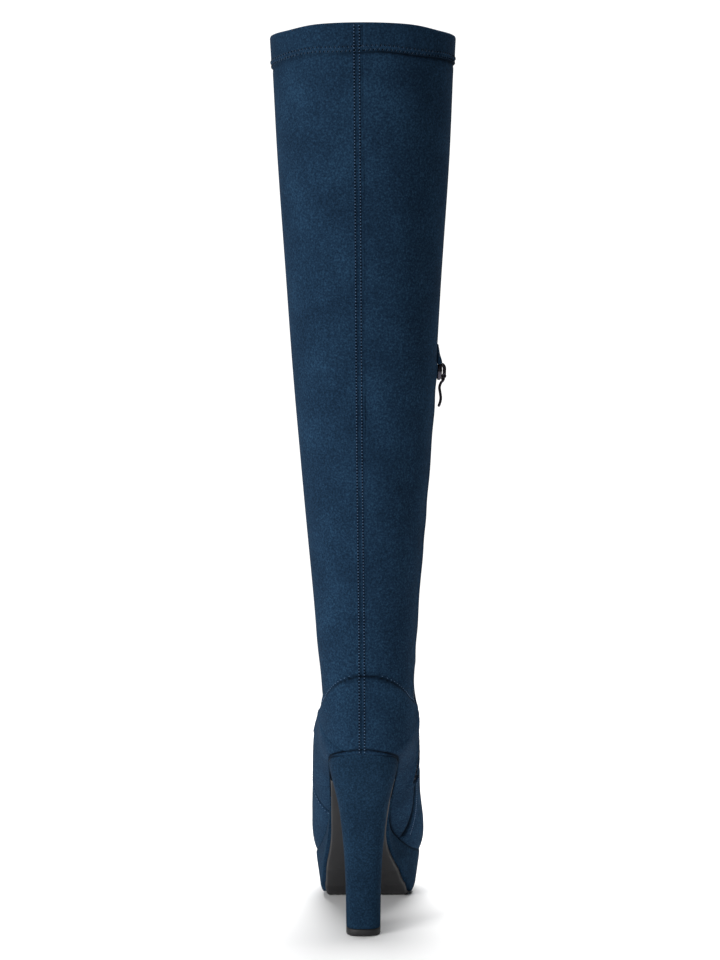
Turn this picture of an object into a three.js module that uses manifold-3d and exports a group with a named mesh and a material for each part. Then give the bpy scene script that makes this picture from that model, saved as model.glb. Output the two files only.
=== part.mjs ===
import * as THREE from 'three';
import Module from 'manifold-3d';

const wasm = await Module();
wasm.setup();

// Left thigh high boot with a covered platform and a high block heel, in millimetres.
// X points to the inner side of the leg, Y to the toe and Z up; the origin lies on the floor
// under the middle of the heel tip.

// Overall sizes
const TOTAL_HEIGHT = 700;
const FOOT_LENGTH = 228;
const HEEL_HEIGHT = 146;
const PLATFORM_HEIGHT = 36;
const TOE_SPRING = 6;
const HEEL_OVERHANG = 28;
const ANKLE_RISE = 94;

// Widths and depths of the upper and the sole
const SEAT_WIDTH = 54;
const SOLE_WIDTH = 86;
const BALL_WIDTH = 91;
const ANKLE_WIDTH = 79.8;
const ANKLE_DEPTH = 88;
const ANKLE_INSET = 8;
const COLLAR_WIDTH = 143;
const COLLAR_DEPTH = 138;
const BACK_LEAN = 42;

// Wall, panels and clearances
const WALL = 2;
const PANEL = 1;
const GAP = 0.3;
const SEAM = 0.5;
const HEM_HEIGHT = 19;
const HEM_STEP = 0.8;

// Sole
const OUTSOLE = 2.6;
const INSOLE = 2.5;
const SKIRT = 8;
const PLATFORM_INSET = 6.5;
const PLATFORM_TIP = 1.2;
const BREAST_SHARE = 0.22;
const BREAST_SLOPE = 1.35;
const PLATFORM_REAR_SHARE = 0.3;
const CONTACT_START_SHARE = 0.685;
const CONTACT_END_SHARE = 0.83;

// Heel
const HEEL_TIP_HEIGHT = 5.5;
const HEEL_TIP_WIDTH = 27;
const HEEL_TIP_DEPTH = 27;
const HEEL_TIP_CHAMFER = 0.8;

// Zip
const ZIP_TOP = 448;
const CHAIN_WIDTH = 5;
const GARAGE_LENGTH = 14;
const GARAGE_WIDTH = 11;
const GARAGE_THICKNESS = 3.6;
const SLIDER_LENGTH = 13;
const SLIDER_WIDTH = 8;
const SLIDER_THICKNESS = 2.4;
const PIN_RADIUS = 0.7;
const PIN_CLEARANCE = 0.3;
const EYE_WALL = 0.9;
const TAB_LENGTH = 26;
const TAB_WIDTH = 4.4;
const TAB_THICKNESS = 1.4;
const LUG_WIDTH = 1.2;
const LUG_HEIGHT_SHARE = 1.4;
const LUG_EDGE_SHARE = 1.6;
const SLIDER_FOOT_SHARE = 0.68;
const SLIDER_SHOULDER_SHARE = 0.3;
const SLIDER_HEAD_SHARE = 0.8;

const heelBack = -HEEL_OVERHANG;
const toeTip = heelBack + FOOT_LENGTH;
const ankleLevel = HEEL_HEIGHT + ANKLE_RISE;
const ankleBack = heelBack + ANKLE_INSET;
const ankleFront = ankleBack + ANKLE_DEPTH;

const clamp = (value, low, high) => Math.min(high, Math.max(low, value));
const lerp = (a, b, t) => a + (b - a) * t;

// Smooth value of one column of a table at row number t
function column(rows, key, t) {
  const last = rows.length - 1;
  const i = clamp(Math.floor(t), 0, last - 1);
  const u = t - i;
  const value = (k) => rows[clamp(k, 0, last)][key];
  const [a, b, c, d] = [value(i - 1), value(i), value(i + 1), value(i + 2)];
  const slopeB = (c - a) / 2;
  const slopeC = (d - b) / 2;
  const u2 = u * u;
  const u3 = u2 * u;
  const ends = b * (2 * u3 - 3 * u2 + 1) + c * (3 * u2 - 2 * u3);
  return ends + slopeB * (u3 - 2 * u2 + u) + slopeC * (u3 - u2);
}

// Value of one column against another column that rises from row to row
function lookUp(rows, from, key, x) {
  let i = 0;
  while (i < rows.length - 2 && x > rows[i + 1][from]) i += 1;
  const u = clamp((x - rows[i][from]) / (rows[i + 1][from] - rows[i][from]), 0, 1);
  return column(rows, key, i + u);
}

const along = (y) => (y - heelBack) / FOOT_LENGTH;
const lengthAt = (share) => heelBack + share * FOOT_LENGTH;

// Feather line, where the upper meets the sole, in side view: `drop` is the share of the rise from
// platform to seat, `spring` the share of the toe spring
const FEATHER = [
  { along: 0.0, drop: 1.0, spring: 0 },
  { along: 0.1, drop: 0.92, spring: 0 },
  { along: 0.22, drop: 0.76, spring: 0 },
  { along: 0.32, drop: 0.555, spring: 0 },
  { along: 0.42, drop: 0.365, spring: 0 },
  { along: 0.52, drop: 0.205, spring: 0 },
  { along: 0.62, drop: 0.07, spring: 0 },
  { along: 0.72, drop: 0.008, spring: 0.02 },
  { along: 0.85, drop: 0, spring: 0.22 },
  { along: 1.0, drop: 0, spring: 1 },
];

function feather(y) {
  const share = along(y);
  const rise = (HEEL_HEIGHT - PLATFORM_HEIGHT) * lookUp(FEATHER, 'along', 'drop', share);
  return PLATFORM_HEIGHT + rise + TOE_SPRING * lookUp(FEATHER, 'along', 'spring', share);
}

// Underside of the waist between the floor contact and the heel breast: `up` is the share of the
// breast's height at the share `back` of the way from the contact to the breast
const UNDERSIDE = [
  { back: 0, up: 0 },
  { back: 0.05, up: 0.02 },
  { back: 0.12, up: 0.085 },
  { back: 0.25, up: 0.225 },
  { back: 0.5, up: 0.485 },
  { back: 0.75, up: 0.745 },
  { back: 1.0, up: 1.0 },
];

const breastY = lengthAt(BREAST_SHARE);
const contactStart = lengthAt(CONTACT_START_SHARE);
const contactEnd = lengthAt(CONTACT_END_SHARE);
const breastZ = feather(breastY) - OUTSOLE * BREAST_SLOPE;

function underside(y) {
  if (y > contactEnd) return TOE_SPRING * ((y - contactEnd) / (toeTip - contactEnd)) ** 2;
  if (y > contactStart) return 0;
  return breastZ * lookUp(UNDERSIDE, 'back', 'up', (contactStart - y) / (contactStart - breastY));
}

// Edges of the sole in plan, as shares of the local width, which grows from seat to ball by `ball`
const SOLE = [
  { along: 0.0, ball: 0, lateral: -0.5, medial: 0.5 },
  { along: 0.11, ball: 0, lateral: -0.5, medial: 0.5 },
  { along: 0.22, ball: 0, lateral: -0.49, medial: 0.475 },
  { along: 0.32, ball: 0, lateral: -0.485, medial: 0.4 },
  { along: 0.395, ball: 0.1, lateral: -0.47, medial: 0.35 },
  { along: 0.474, ball: 0.3, lateral: -0.455, medial: 0.34 },
  { along: 0.54, ball: 0.55, lateral: -0.447, medial: 0.39 },
  { along: 0.61, ball: 0.8, lateral: -0.449, medial: 0.47 },
  { along: 0.671, ball: 1, lateral: -0.447, medial: 0.52 },
  { along: 0.737, ball: 1, lateral: -0.447, medial: 0.55 },
  { along: 0.8, ball: 1, lateral: -0.43, medial: 0.535 },
];
const TOE_START_SHARE = 0.78;
const SEAT_ROUND_SHARE = 0.11;
const SEAT_ROUNDNESS = 2.7;

function soleEdge(y, side) {
  const share = along(y);
  const capped = Math.min(share, TOE_START_SHARE);
  const width = lerp(SEAT_WIDTH, SOLE_WIDTH, lookUp(SOLE, 'along', 'ball', capped));
  const edge = width * lookUp(SOLE, 'along', side, capped);
  if (share > TOE_START_SHARE) {
    const mid = soleMiddle(lengthAt(TOE_START_SHARE));
    const u = clamp((share - TOE_START_SHARE) / (1 - TOE_START_SHARE), 0, 1);
    return mid + (edge - mid) * Math.sqrt(1 - u * u);
  }
  if (share < SEAT_ROUND_SHARE) {
    const u = clamp((SEAT_ROUND_SHARE - share) / SEAT_ROUND_SHARE, 0, 1);
    return edge * (1 - u ** SEAT_ROUNDNESS) ** (1 / SEAT_ROUNDNESS);
  }
  return edge;
}

function soleMiddle(y) {
  return (soleEdge(y, 'lateral') + soleEdge(y, 'medial')) / 2;
}

// Shaft sections from the ankle up: `level` is the share of the shaft's height, `width` and `depth`
// shares of sizes that run from ankle to collar, `middle` the share of the ankle width by which the
// section lies off the heel's middle, `lean` the share of the back's lean
const SHAFT = [
  { level: 0, width: 1, depth: 1, middle: 0.029, lean: 0 },
  { level: 0.2, width: 1.027, depth: 1, middle: 0.02, lean: 0.24 },
  { level: 0.4, width: 1.045, depth: 1, middle: 0.012, lean: 0.476 },
  { level: 0.6, width: 1.036, depth: 1, middle: 0.004, lean: 0.667 },
  { level: 0.8, width: 1.03, depth: 1, middle: 0.001, lean: 0.833 },
  { level: 1, width: 1, depth: 1, middle: -0.005, lean: 1 },
];
const SHAFT_ROUNDNESS = 2.08;

function shaftSection(z, raise) {
  const level = (z - ankleLevel) / (TOTAL_HEIGHT - ankleLevel);
  const width = lerp(ANKLE_WIDTH, COLLAR_WIDTH, level) * lookUp(SHAFT, 'level', 'width', level);
  const depth = lerp(ANKLE_DEPTH, COLLAR_DEPTH, level) * lookUp(SHAFT, 'level', 'depth', level);
  const middle = ANKLE_WIDTH * lookUp(SHAFT, 'level', 'middle', level);
  const back = ankleBack - BACK_LEAN * lookUp(SHAFT, 'level', 'lean', level);
  return {
    near: [back + depth + raise, z],
    far: [back - raise, z],
    lateral: middle - width / 2 - raise,
    medial: middle + width / 2 + raise,
    ridge: middle,
    spine: middle,
    belly: 0.5,
    roundness: SHAFT_ROUNDNESS,
    edges: null,
  };
}

// Sections of ankle and foot, each a plane through a point at the back or sole and a point on the
// instep. `back` is the share of the foot's length and `up` of the ankle rise for the first, which
// lies on the feather line where up is 0; `front` is the share of the way from the ankle's front to
// the toe and `rise` the share of the ankle rise for the second. `lateral` and `medial` are the
// widest points as shares of a width that grows from ankle to ball by `ball`, `ridge` is the
// instep's line and `spine` the back's line, and `belly` says how far down the widest line lies.
const FOOT_COLUMNS = ['back', 'up', 'front', 'rise', 'ball', 'lateral', 'medial', 'ridge', 'spine', 'belly'];
const FOOT = [
  [0.035, 1.0, 0, 0, 0, -0.471, 0.529, 0.029, 0.029, 0.5],
  [0.033, 0.745, 0.015, 0.128, 0, -0.452, 0.512, 0.035, 0.024, 0.5],
  [0.0175, 0.5, 0.038, 0.255, 0, -0.426, 0.503, 0.045, 0.015, 0.5],
  [-0.004, 0.277, 0.061, 0.394, 0, -0.41, 0.5, 0.055, 0.006, 0.5],
  [-0.01, 0.128, 0.08, 0.479, 0, -0.408, 0.511, 0.06, 0.001, 0.5],
  [0, 0, 0.095, 0.564, 0.1, -0.418, 0.52, 0.065, 0, 0.5],
  [0.0175, 0, 0.101, 0.566, 0.15, -0.422, 0.523, 0.068, 0, 0.52],
  [0.053, 0, 0.11, 0.572, 0.25, -0.42, 0.521, 0.07, 0, 0.55],
  [0.105, 0, 0.125, 0.585, 0.4, -0.423, 0.514, 0.075, 0, 0.57],
  [0.167, 0, 0.14, 0.606, 0.55, -0.435, 0.515, 0.08, 0, 0.59],
  [0.228, 0, 0.163, 0.644, 0.7, -0.446, 0.515, 0.085, 0, 0.61],
  [0.289, 0, 0.189, 0.697, 0.8, -0.447, 0.51, 0.088, 0, 0.63],
  [0.351, 0, 0.2235, 0.729, 0.9, -0.445, 0.502, 0.09, 0, 0.65],
  [0.412, 0, 0.265, 0.723, 0.95, -0.446, 0.503, 0.09, 0, 0.66],
  [0.474, 0, 0.318, 0.713, 1, -0.449, 0.51, 0.088, 0, 0.68],
  [0.539, 0, 0.3826, 0.702, 1, -0.452, 0.526, 0.084, 0, 0.7],
  [0.61, 0, 0.462, 0.686, 1, -0.455, 0.543, 0.08, 0, 0.72],
  [0.684, 0, 0.561, 0.633, 1, -0.45, 0.547, 0.072, 0, 0.73],
  [0.759, 0, 0.663, 0.543, 1, -0.437, 0.536, 0.064, 0, 0.74],
  [0.829, 0, 0.758, 0.45, 1, -0.392, 0.491, 0.056, 0, 0.74],
  [0.89, 0, 0.841, 0.35, 1, -0.34, 0.44, 0.05, 0, 0.74],
  [0.9386, 0, 0.909, 0.245, 1, -0.257, 0.356, 0.05, 0, 0.74],
  [0.972, 0, 0.96, 0.145, 1, -0.156, 0.255, 0.05, 0, 0.74],
  [0.987, 0, 0.982, 0.08, 1, -0.08, 0.18, 0.05, 0, 0.74],
].map((row) => Object.fromEntries(FOOT_COLUMNS.map((key, i) => [key, row[i]])));
const HEEL_ROW = 5;
const FOOT_ROUNDNESS = 2.2;
const panelStep = GAP + PANEL;

function footSection(t) {
  const get = (key) => column(FOOT, key, t);
  const onFeather = t >= HEEL_ROW;
  const farY = lengthAt(get('back'));
  const farZ = onFeather ? feather(farY) : HEEL_HEIGHT + ANKLE_RISE * get('up');
  const width = lerp(ANKLE_WIDTH, BALL_WIDTH, get('ball'));
  const edge = (side, inward) => soleEdge(farY, side) + inward * panelStep;
  const edges = onFeather && t > HEEL_ROW ? [edge('lateral', 1), edge('medial', -1)] : null;
  const lateral = width * get('lateral');
  const medial = width * get('medial');
  return {
    near: [lerp(ankleFront, toeTip, get('front')), farZ + ANKLE_RISE * get('rise')],
    far: [farY, farZ],
    lateral: edges ? Math.min(lateral, edges[0] - GAP) : lateral,
    medial: edges ? Math.max(medial, edges[1] + GAP) : medial,
    ridge: width * get('ridge'),
    spine: edges ? (edges[0] + edges[1]) / 2 : width * get('spine'),
    belly: get('belly'),
    roundness: lerp(SHAFT_ROUNDNESS, FOOT_ROUNDNESS, clamp(t / HEEL_ROW, 0, 1)),
    edges,
  };
}

const QUARTER_STEPS = 6;

// Half of one section from the instep point down to the sole and its skirt, as points in space
function halfSection(section, side) {
  const { near, far, ridge, spine, belly, roundness, edges } = section;
  const wide = side < 0 ? section.lateral : section.medial;
  const power = 2 / roundness;
  const point = (x, share) => {
    return new THREE.Vector3(x, lerp(near[0], far[0], share), lerp(near[1], far[1], share));
  };
  const points = [];
  for (let i = 1; i <= QUARTER_STEPS; i += 1) {
    const angle = (Math.PI / 2) * (1 - i / QUARTER_STEPS);
    const x = ridge + (wide - ridge) * Math.max(0, Math.cos(angle)) ** power;
    points.push(point(x, belly * (1 - Math.sin(angle) ** power)));
  }
  const edge = edges ? edges[side < 0 ? 0 : 1] : spine;
  const end = Math.acos(clamp((edge - spine) / (wide - spine), 0, 1) ** (1 / power));
  const reach = (1 - belly) / Math.sin(end) ** power;
  for (let i = 1; i <= QUARTER_STEPS; i += 1) {
    const angle = (end * i) / QUARTER_STEPS;
    const x = spine + (wide - spine) * Math.max(0, Math.cos(angle)) ** power;
    points.push(point(x, belly + reach * Math.sin(angle) ** power));
  }
  points[points.length - 1].x = edge;
  const depth = Math.min(SKIRT, Math.abs(edge - spine));
  points.push(new THREE.Vector3(edge, far[0], far[1] - depth));
  return points;
}

function sectionRing(section) {
  const { near, far, ridge, spine } = section;
  const right = halfSection(section, 1);
  const left = halfSection(section, -1).reverse();
  const top = new THREE.Vector3(ridge, near[0], near[1]);
  const bottom = new THREE.Vector3(spine, far[0], right[right.length - 1].z);
  return [top, ...right, bottom, ...left];
}

// Rings of the outer form from the collar down to the toe
const hemLevel = TOTAL_HEIGHT - HEM_HEIGHT;
const SHAFT_RINGS = 9;
const HEEL_BETWEEN = 0.4;
const rings = [TOTAL_HEIGHT, hemLevel].map((z) => sectionRing(shaftSection(z, HEM_STEP)));
for (let i = 0; i < SHAFT_RINGS; i += 1) {
  rings.push(sectionRing(shaftSection(lerp(hemLevel - HEM_STEP, ankleLevel, i / SHAFT_RINGS), 0)));
}
for (let row = 0; row < FOOT.length; row += 1) {
  rings.push(sectionRing(footSection(row)));
  if (row === HEEL_ROW || row === HEEL_ROW + 1) rings.push(sectionRing(footSection(row + HEEL_BETWEEN)));
}
const toeApex = new THREE.Vector3(soleMiddle(toeTip), toeTip - panelStep, feather(toeTip) + GAP);

// Welds equal points, drops collapsed triangles and gives a solid
function solid(points, triangles) {
  const keys = new Map();
  const kept = [];
  const index = points.map((p) => {
    const key = [p.x, p.y, p.z].map((v) => Math.round(v * 1e4)).join();
    if (!keys.has(key)) {
      keys.set(key, kept.length);
      kept.push(p);
    }
    return keys.get(key);
  });
  const welded = triangles.map((t) => t.map((i) => index[i]));
  const faces = welded.filter(([a, b, c]) => a !== b && b !== c && c !== a);
  const mesh = new wasm.Mesh({
    numProp: 3,
    vertProperties: Float32Array.from(kept.flatMap((p) => [p.x, p.y, p.z])),
    triVerts: Uint32Array.from(faces.flat()),
  });
  return new wasm.Manifold(mesh);
}

function stripFaces(rows, count) {
  const faces = [];
  for (let r = 0; r < rows - 1; r += 1) {
    for (let i = 0; i < count; i += 1) {
      const j = (i + 1) % count;
      const [a, b, c, d] = [r * count + i, r * count + j, (r + 1) * count + i, (r + 1) * count + j];
      faces.push([a, b, c], [b, d, c]);
    }
  }
  return faces;
}

const ringSize = rings[0].length;
const formPoints = [...rings.flat(), toeApex];
const apexIndex = formPoints.length - 1;
const formFaces = stripFaces(rings.length, ringSize);
for (let i = 0; i < ringSize; i += 1) {
  const start = (rings.length - 1) * ringSize;
  formFaces.push([start + i, start + ((i + 1) % ringSize), apexIndex]);
}

// Outward direction at each point of the form, shared by points that coincide
function formNormals() {
  const sums = new Map();
  const keyOf = (p) => [p.x, p.y, p.z].map((v) => Math.round(v * 1e3)).join();
  const ab = new THREE.Vector3();
  const ac = new THREE.Vector3();
  for (const [a, b, c] of formFaces) {
    ab.subVectors(formPoints[b], formPoints[a]);
    ac.subVectors(formPoints[c], formPoints[a]);
    ab.cross(ac);
    for (const i of [a, b, c]) {
      const key = keyOf(formPoints[i]);
      if (!sums.has(key)) sums.set(key, new THREE.Vector3());
      sums.get(key).add(ab);
    }
  }
  return formPoints.map((p) => sums.get(keyOf(p)).clone().normalize());
}
const normals = formNormals();

// The upper's form grown by `offset`, or shrunk where it is negative, and raised at the collar
function form(offset, raise) {
  const points = formPoints.map((p, i) => p.clone().addScaledVector(normals[i], offset));
  const middle = new THREE.Vector3();
  for (let i = 0; i < ringSize; i += 1) {
    points[i].z = TOTAL_HEIGHT + raise;
    middle.addScaledVector(points[i], 1 / ringSize);
  }
  points.push(middle);
  const cap = rings[0].map((_, i) => [points.length - 1, (i + 1) % ringSize, i]);
  return solid(points, [...formFaces, ...cap]);
}

// A block with an outline in side view, given as [y, z] points, that reaches from x0 to x1
function sideBlock(outline, x0, x1) {
  const shape = new THREE.Shape(outline.map(([y, z]) => new THREE.Vector2(y, z)));
  const geometry = new THREE.ExtrudeGeometry(shape, { depth: x1 - x0, bevelEnabled: false });
  geometry.applyMatrix4(new THREE.Matrix4().set(0, 0, 1, x0, 1, 0, 0, 0, 0, 1, 0, 0, 0, 0, 0, 1));
  return solidOf(geometry);
}

function solidOf(geometry) {
  const position = geometry.getAttribute('position');
  const points = [];
  for (let i = 0; i < position.count; i += 1) {
    points.push(new THREE.Vector3().fromBufferAttribute(position, i));
  }
  const order = geometry.index ? [...geometry.index.array] : points.map((_, i) => i);
  const faces = [];
  for (let i = 0; i < order.length; i += 3) faces.push(order.slice(i, i + 3));
  return solid(points, faces);
}

// A solid through rings of equal count that lie level, from the lowest to the highest
function loft(levels) {
  const count = levels[0].length;
  const points = levels.flat();
  const faces = stripFaces(levels.length, count);
  const flat = (ring) => THREE.ShapeUtils.triangulateShape(ring.map((p) => new THREE.Vector2(p.x, p.y)), []);
  const last = (levels.length - 1) * count;
  const upward = flat(levels[levels.length - 1]);
  const downward = flat(levels[0]);
  faces.push(...upward.map((t) => t.map((i) => i + last)), ...downward.map(([a, b, c]) => [a, c, b]));
  return solid(points, faces);
}

const reachX = Math.max(COLLAR_WIDTH, BALL_WIDTH, SOLE_WIDTH);
const farDown = -TOTAL_HEIGHT / 10;

// Points of a side view line at even steps of the foot's length
function sideLine(heightAt, y0, y1, steps) {
  return Array.from({ length: steps + 1 }, (_, i) => {
    const y = lerp(y0, y1, i / steps);
    return [y, heightAt(y)];
  });
}

const beyondToe = toeTip + HEEL_OVERHANG;
const beforeHeel = heelBack - HEEL_OVERHANG;

// Everything below the feather line raised by `lift`
function belowFeather(lift) {
  const line = sideLine((y) => feather(y) + lift, heelBack, toeTip, 32);
  const ends = [[beforeHeel, feather(heelBack) + lift], ...line, [beyondToe, feather(toeTip) + lift]];
  return sideBlock([[beforeHeel, farDown], [beyondToe, farDown], ...ends.reverse()], -reachX, reachX);
}

const underUpper = belowFeather(GAP);
const upperSolid = form(0, 0).subtract(underUpper).subtract(form(-WALL, WALL * 2));

// Insole: a sheet on the sole inside the upper
const insoleSolid = form(-WALL - GAP, 0).subtract(underUpper).intersect(belowFeather(GAP + INSOLE));

// Plan outline of the sole, moved inwards by `inset`, at height z
const OUTLINE_STEPS = 22;
function soleRing(inset, z) {
  const ys = Array.from({ length: OUTLINE_STEPS + 1 }, (_, i) => {
    return lengthAt((1 - Math.cos((Math.PI * i) / OUTLINE_STEPS)) / 2);
  });
  const lateral = ys.map((y) => new THREE.Vector2(soleEdge(y, 'lateral'), y));
  const medial = ys.slice(1, -1).map((y) => new THREE.Vector2(soleEdge(y, 'medial'), y));
  const outline = [...medial, lateral[OUTLINE_STEPS], ...lateral.slice(0, -1).reverse()];
  const count = outline.length;
  return outline.map((p, i) => {
    const before = outline[(i + count - 1) % count];
    const after = outline[(i + 1) % count];
    const inward = new THREE.Vector2(before.y - after.y, after.x - before.x).normalize();
    return new THREE.Vector3(p.x + inward.x * inset, p.y + inward.y * inset, z);
  });
}

// Side of the platform: share of the inset at a share of the platform's height
const PLATFORM_SIDE = [
  { height: -0.1, inset: 1.05 },
  { height: 0, inset: 1 },
  { height: 0.06, inset: 0.86 },
  { height: 0.25, inset: 0.56 },
  { height: 0.6, inset: 0.28 },
  { height: 1.0, inset: 0 },
  { height: 4.5, inset: 0 },
];

function solePlan(extra) {
  const level = (row) => soleRing(row.inset * PLATFORM_INSET + extra, row.height * PLATFORM_HEIGHT);
  return loft(PLATFORM_SIDE.map(level));
}

// A side view line moved outwards, to its upper side, by `thickness`
function thickened(line, thickness) {
  return line.map(([y, z], i) => {
    const [y0, z0] = line[Math.max(0, i - 1)];
    const [y1, z1] = line[Math.min(line.length - 1, i + 1)];
    const length = Math.hypot(y1 - y0, z1 - z0);
    return [y - ((z1 - z0) / length) * thickness, z + ((y1 - y0) / length) * thickness];
  });
}

const platformRear = lengthAt(PLATFORM_REAR_SHARE);
const soleLine = sideLine(underside, breastY, toeTip, 44);
const outsoleTop = thickened(soleLine, OUTSOLE);
const platformUnder = thickened(soleLine, OUTSOLE + GAP);

function outsoleBlock() {
  const forward = outsoleTop.filter(([y]) => y > platformRear);
  const rearward = sideLine(feather, breastY + GAP, platformRear, 8);
  const under = soleLine.filter(([y]) => y > breastY + GAP);
  const start = [breastY + GAP, underside(breastY + GAP)];
  return sideBlock([start, ...under, ...[...rearward, ...forward].reverse()], -reachX, reachX);
}
const outsoleSolid = solePlan(OUTSOLE / 5).intersect(outsoleBlock());

function platformBlock() {
  const thin = ([y, z]) => feather(y) - z < PLATFORM_TIP;
  const under = platformUnder.filter((p) => p[0] > platformRear + GAP && !thin(p));
  const y0 = under[0][0];
  const top = sideLine(feather, y0, toeTip, 30);
  return sideBlock([[y0, top[0][1] - PLATFORM_TIP], ...under, ...top.reverse()], -reachX, reachX);
}
const platformSolid = solePlan(0).intersect(platformBlock());

// Heel: `level` is the share of the height from the tip to the seat, the others say how far width,
// back and breast have grown from the tip to the seat
const HEEL = [
  { level: 0, width: 0, back: 0, breast: 0 },
  { level: 0.226, width: 0.03, back: 0.04, breast: 0.02 },
  { level: 0.378, width: 0.1, back: 0.135, breast: 0.1 },
  { level: 0.485, width: 0.19, back: 0.24, breast: 0.2 },
  { level: 0.575, width: 0.29, back: 0.36, breast: 0.35 },
  { level: 0.665, width: 0.42, back: 0.5, breast: 0.55 },
  { level: 0.755, width: 0.615, back: 0.67, breast: 0.85 },
  { level: 0.833, width: 0.82, back: 0.81, breast: 1 },
  { level: 0.911, width: 0.98, back: 0.93, breast: 1 },
  { level: 1, width: 1, back: 1, breast: 1 },
  { level: 1.1, width: 1, back: 1, breast: 1 },
];
const HEEL_RING = 28;
const BREAST_ROUNDNESS = 6;

function heelRing(halfWidth, back, front, z) {
  const middle = (back + front) / 2;
  const half = (front - back) / 2;
  return Array.from({ length: HEEL_RING }, (_, i) => {
    const angle = (2 * Math.PI * i) / HEEL_RING;
    const [c, s] = [Math.cos(angle), Math.sin(angle)];
    const power = 2 / (s < 0 ? SEAT_ROUNDNESS : BREAST_ROUNDNESS);
    const x = halfWidth * Math.sign(c) * Math.abs(c) ** power;
    return new THREE.Vector3(x, middle + half * Math.sign(s) * Math.abs(s) ** power, z);
  });
}

function heelSection(row) {
  const halfWidth = lerp(HEEL_TIP_WIDTH, SEAT_WIDTH, row.width) / 2;
  const back = lerp(-HEEL_TIP_DEPTH / 2, heelBack, row.back);
  const front = lerp(HEEL_TIP_DEPTH / 2, breastY, row.breast);
  const bottom = HEEL_TIP_HEIGHT + GAP;
  return heelRing(halfWidth, back, front, lerp(bottom, HEEL_HEIGHT, row.level));
}
const heelSolid = loft(HEEL.map(heelSection)).intersect(belowFeather(0));

const tipRing = (inset, z) => {
  const half = HEEL_TIP_DEPTH / 2 - inset;
  return heelRing(HEEL_TIP_WIDTH / 2 - inset, -half, half, z);
};
const heelTipSolid = loft([
  tipRing(HEEL_TIP_CHAMFER, 0),
  tipRing(0, HEEL_TIP_CHAMFER),
  tipRing(0, HEEL_TIP_HEIGHT),
]);

// Panels: a skin over the upper, cut along its seams. Lines are in side view, as shares of the
// foot's length from the back of the heel and of the ankle rise above the seat.
const sidePoint = ([share, rise]) => [lengthAt(share), HEEL_HEIGHT + rise * ANKLE_RISE];
const TOP_SEAM = [
  [0.013, 0.69], [0.022, 0.645], [0.042, 0.59], [0.066, 0.535], [0.09, 0.48], [0.13, 0.405], [0.21, 0.33],
];
const TOP_SEAM_FRONT = [[0.32, 0.2], [0.42, 0.0], [0.465, -0.2]];
const LATERAL_SEAM = [
  [0.38, -0.68], [0.4, -0.52], [0.425, -0.38], [0.45, -0.29], [0.5, -0.2], [0.56, -0.16], [0.615, -0.14],
];
const ZIP_FOOT = [[0.232, 0.6], [0.236, 0.36], [0.268, 0.04], [0.305, -0.17], [0.345, -0.35]];
const MEDIAL_SEAM = [[0.345, -0.35], [0.44, -0.62], [0.545, -0.95]];
const VAMP_TOP = [[0.345, -0.35], [0.42, -0.3], [0.52, -0.2], [0.615, -0.14]];

const topSeam = TOP_SEAM.map(sidePoint);
const zipFoot = ZIP_FOOT.map(sidePoint);
const zipLine = [zipAt(ZIP_TOP), zipAt(lerp(ankleLevel, ZIP_TOP, 0.5)), zipAt(ankleLevel), ...zipFoot];

function zipAt(z) {
  const { near, far } = shaftSection(z, 0);
  return [(near[0] + far[0]) / 2, z];
}

const shifted = (line, dy, dz) => line.map(([y, z]) => [y + dy, z + dz]);
const lowRear = [beforeHeel, farDown];
const aboveUpper = [GAP, GAP / 2, 0].reduce((rest, grow) => rest.subtract(form(grow, 0)), form(panelStep, 0));
const skin = aboveUpper.subtract(underUpper);
const chainHalf = CHAIN_WIDTH / 2;
const zipRearEdge = shifted(zipFoot.slice(1), -chainHalf - SEAM, 0);
const zipFrontEdge = shifted(zipFoot.slice(-1), chainHalf + SEAM, 0);

// Quarter: round the heel from the lateral seam to the zip
function quarterBlock() {
  const start = [beforeHeel, topSeam[0][1]];
  const seam = shifted(LATERAL_SEAM.map(sidePoint), -SEAM / 2, 0).slice(0, 4);
  const lateralDown = [seam[0][0], farDown];
  const lateralSide = [lowRear, lateralDown, ...seam, ...TOP_SEAM_FRONT.map(sidePoint).reverse()];
  const lateral = sideBlock([...lateralSide, ...[start, ...topSeam].reverse()], -reachX, GAP);
  const crease = shifted(MEDIAL_SEAM.map(sidePoint), -chainHalf - SEAM, -SEAM);
  const down = [crease[crease.length - 1][0], farDown];
  const rim = [start, ...topSeam, ...zipRearEdge.slice(0, -1), ...crease, down, lowRear];
  return lateral.add(sideBlock(rim.reverse(), 0, reachX));
}

// Vamp: the front of the foot
function vampBlock() {
  const top = [beyondToe, sidePoint(VAMP_TOP[VAMP_TOP.length - 1])[1]];
  const low = [beyondToe, farDown];
  const seam = shifted(LATERAL_SEAM.map(sidePoint), SEAM / 2, 0);
  const lateral = sideBlock([[seam[0][0], farDown], low, top, ...[...seam].reverse()], -reachX, GAP);
  const crease = shifted(MEDIAL_SEAM.map(sidePoint).slice(1), 0, SEAM);
  const bridge = VAMP_TOP.map(sidePoint).slice(1);
  const foot = [crease[crease.length - 1][0], farDown];
  const rim = [foot, low, top, ...bridge.reverse(), ...zipFrontEdge, ...crease];
  return lateral.add(sideBlock(rim, 0, reachX));
}

function chainBlock() {
  const rear = shifted(zipLine, -chainHalf, 0);
  const front = shifted(zipLine, chainHalf, 0);
  return sideBlock([...rear, ...front.reverse()], 0, reachX);
}

const quarterSolid = skin.intersect(quarterBlock());
const vampSolid = skin.intersect(vampBlock());
const chainSolid = skin.intersect(chainBlock());

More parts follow.
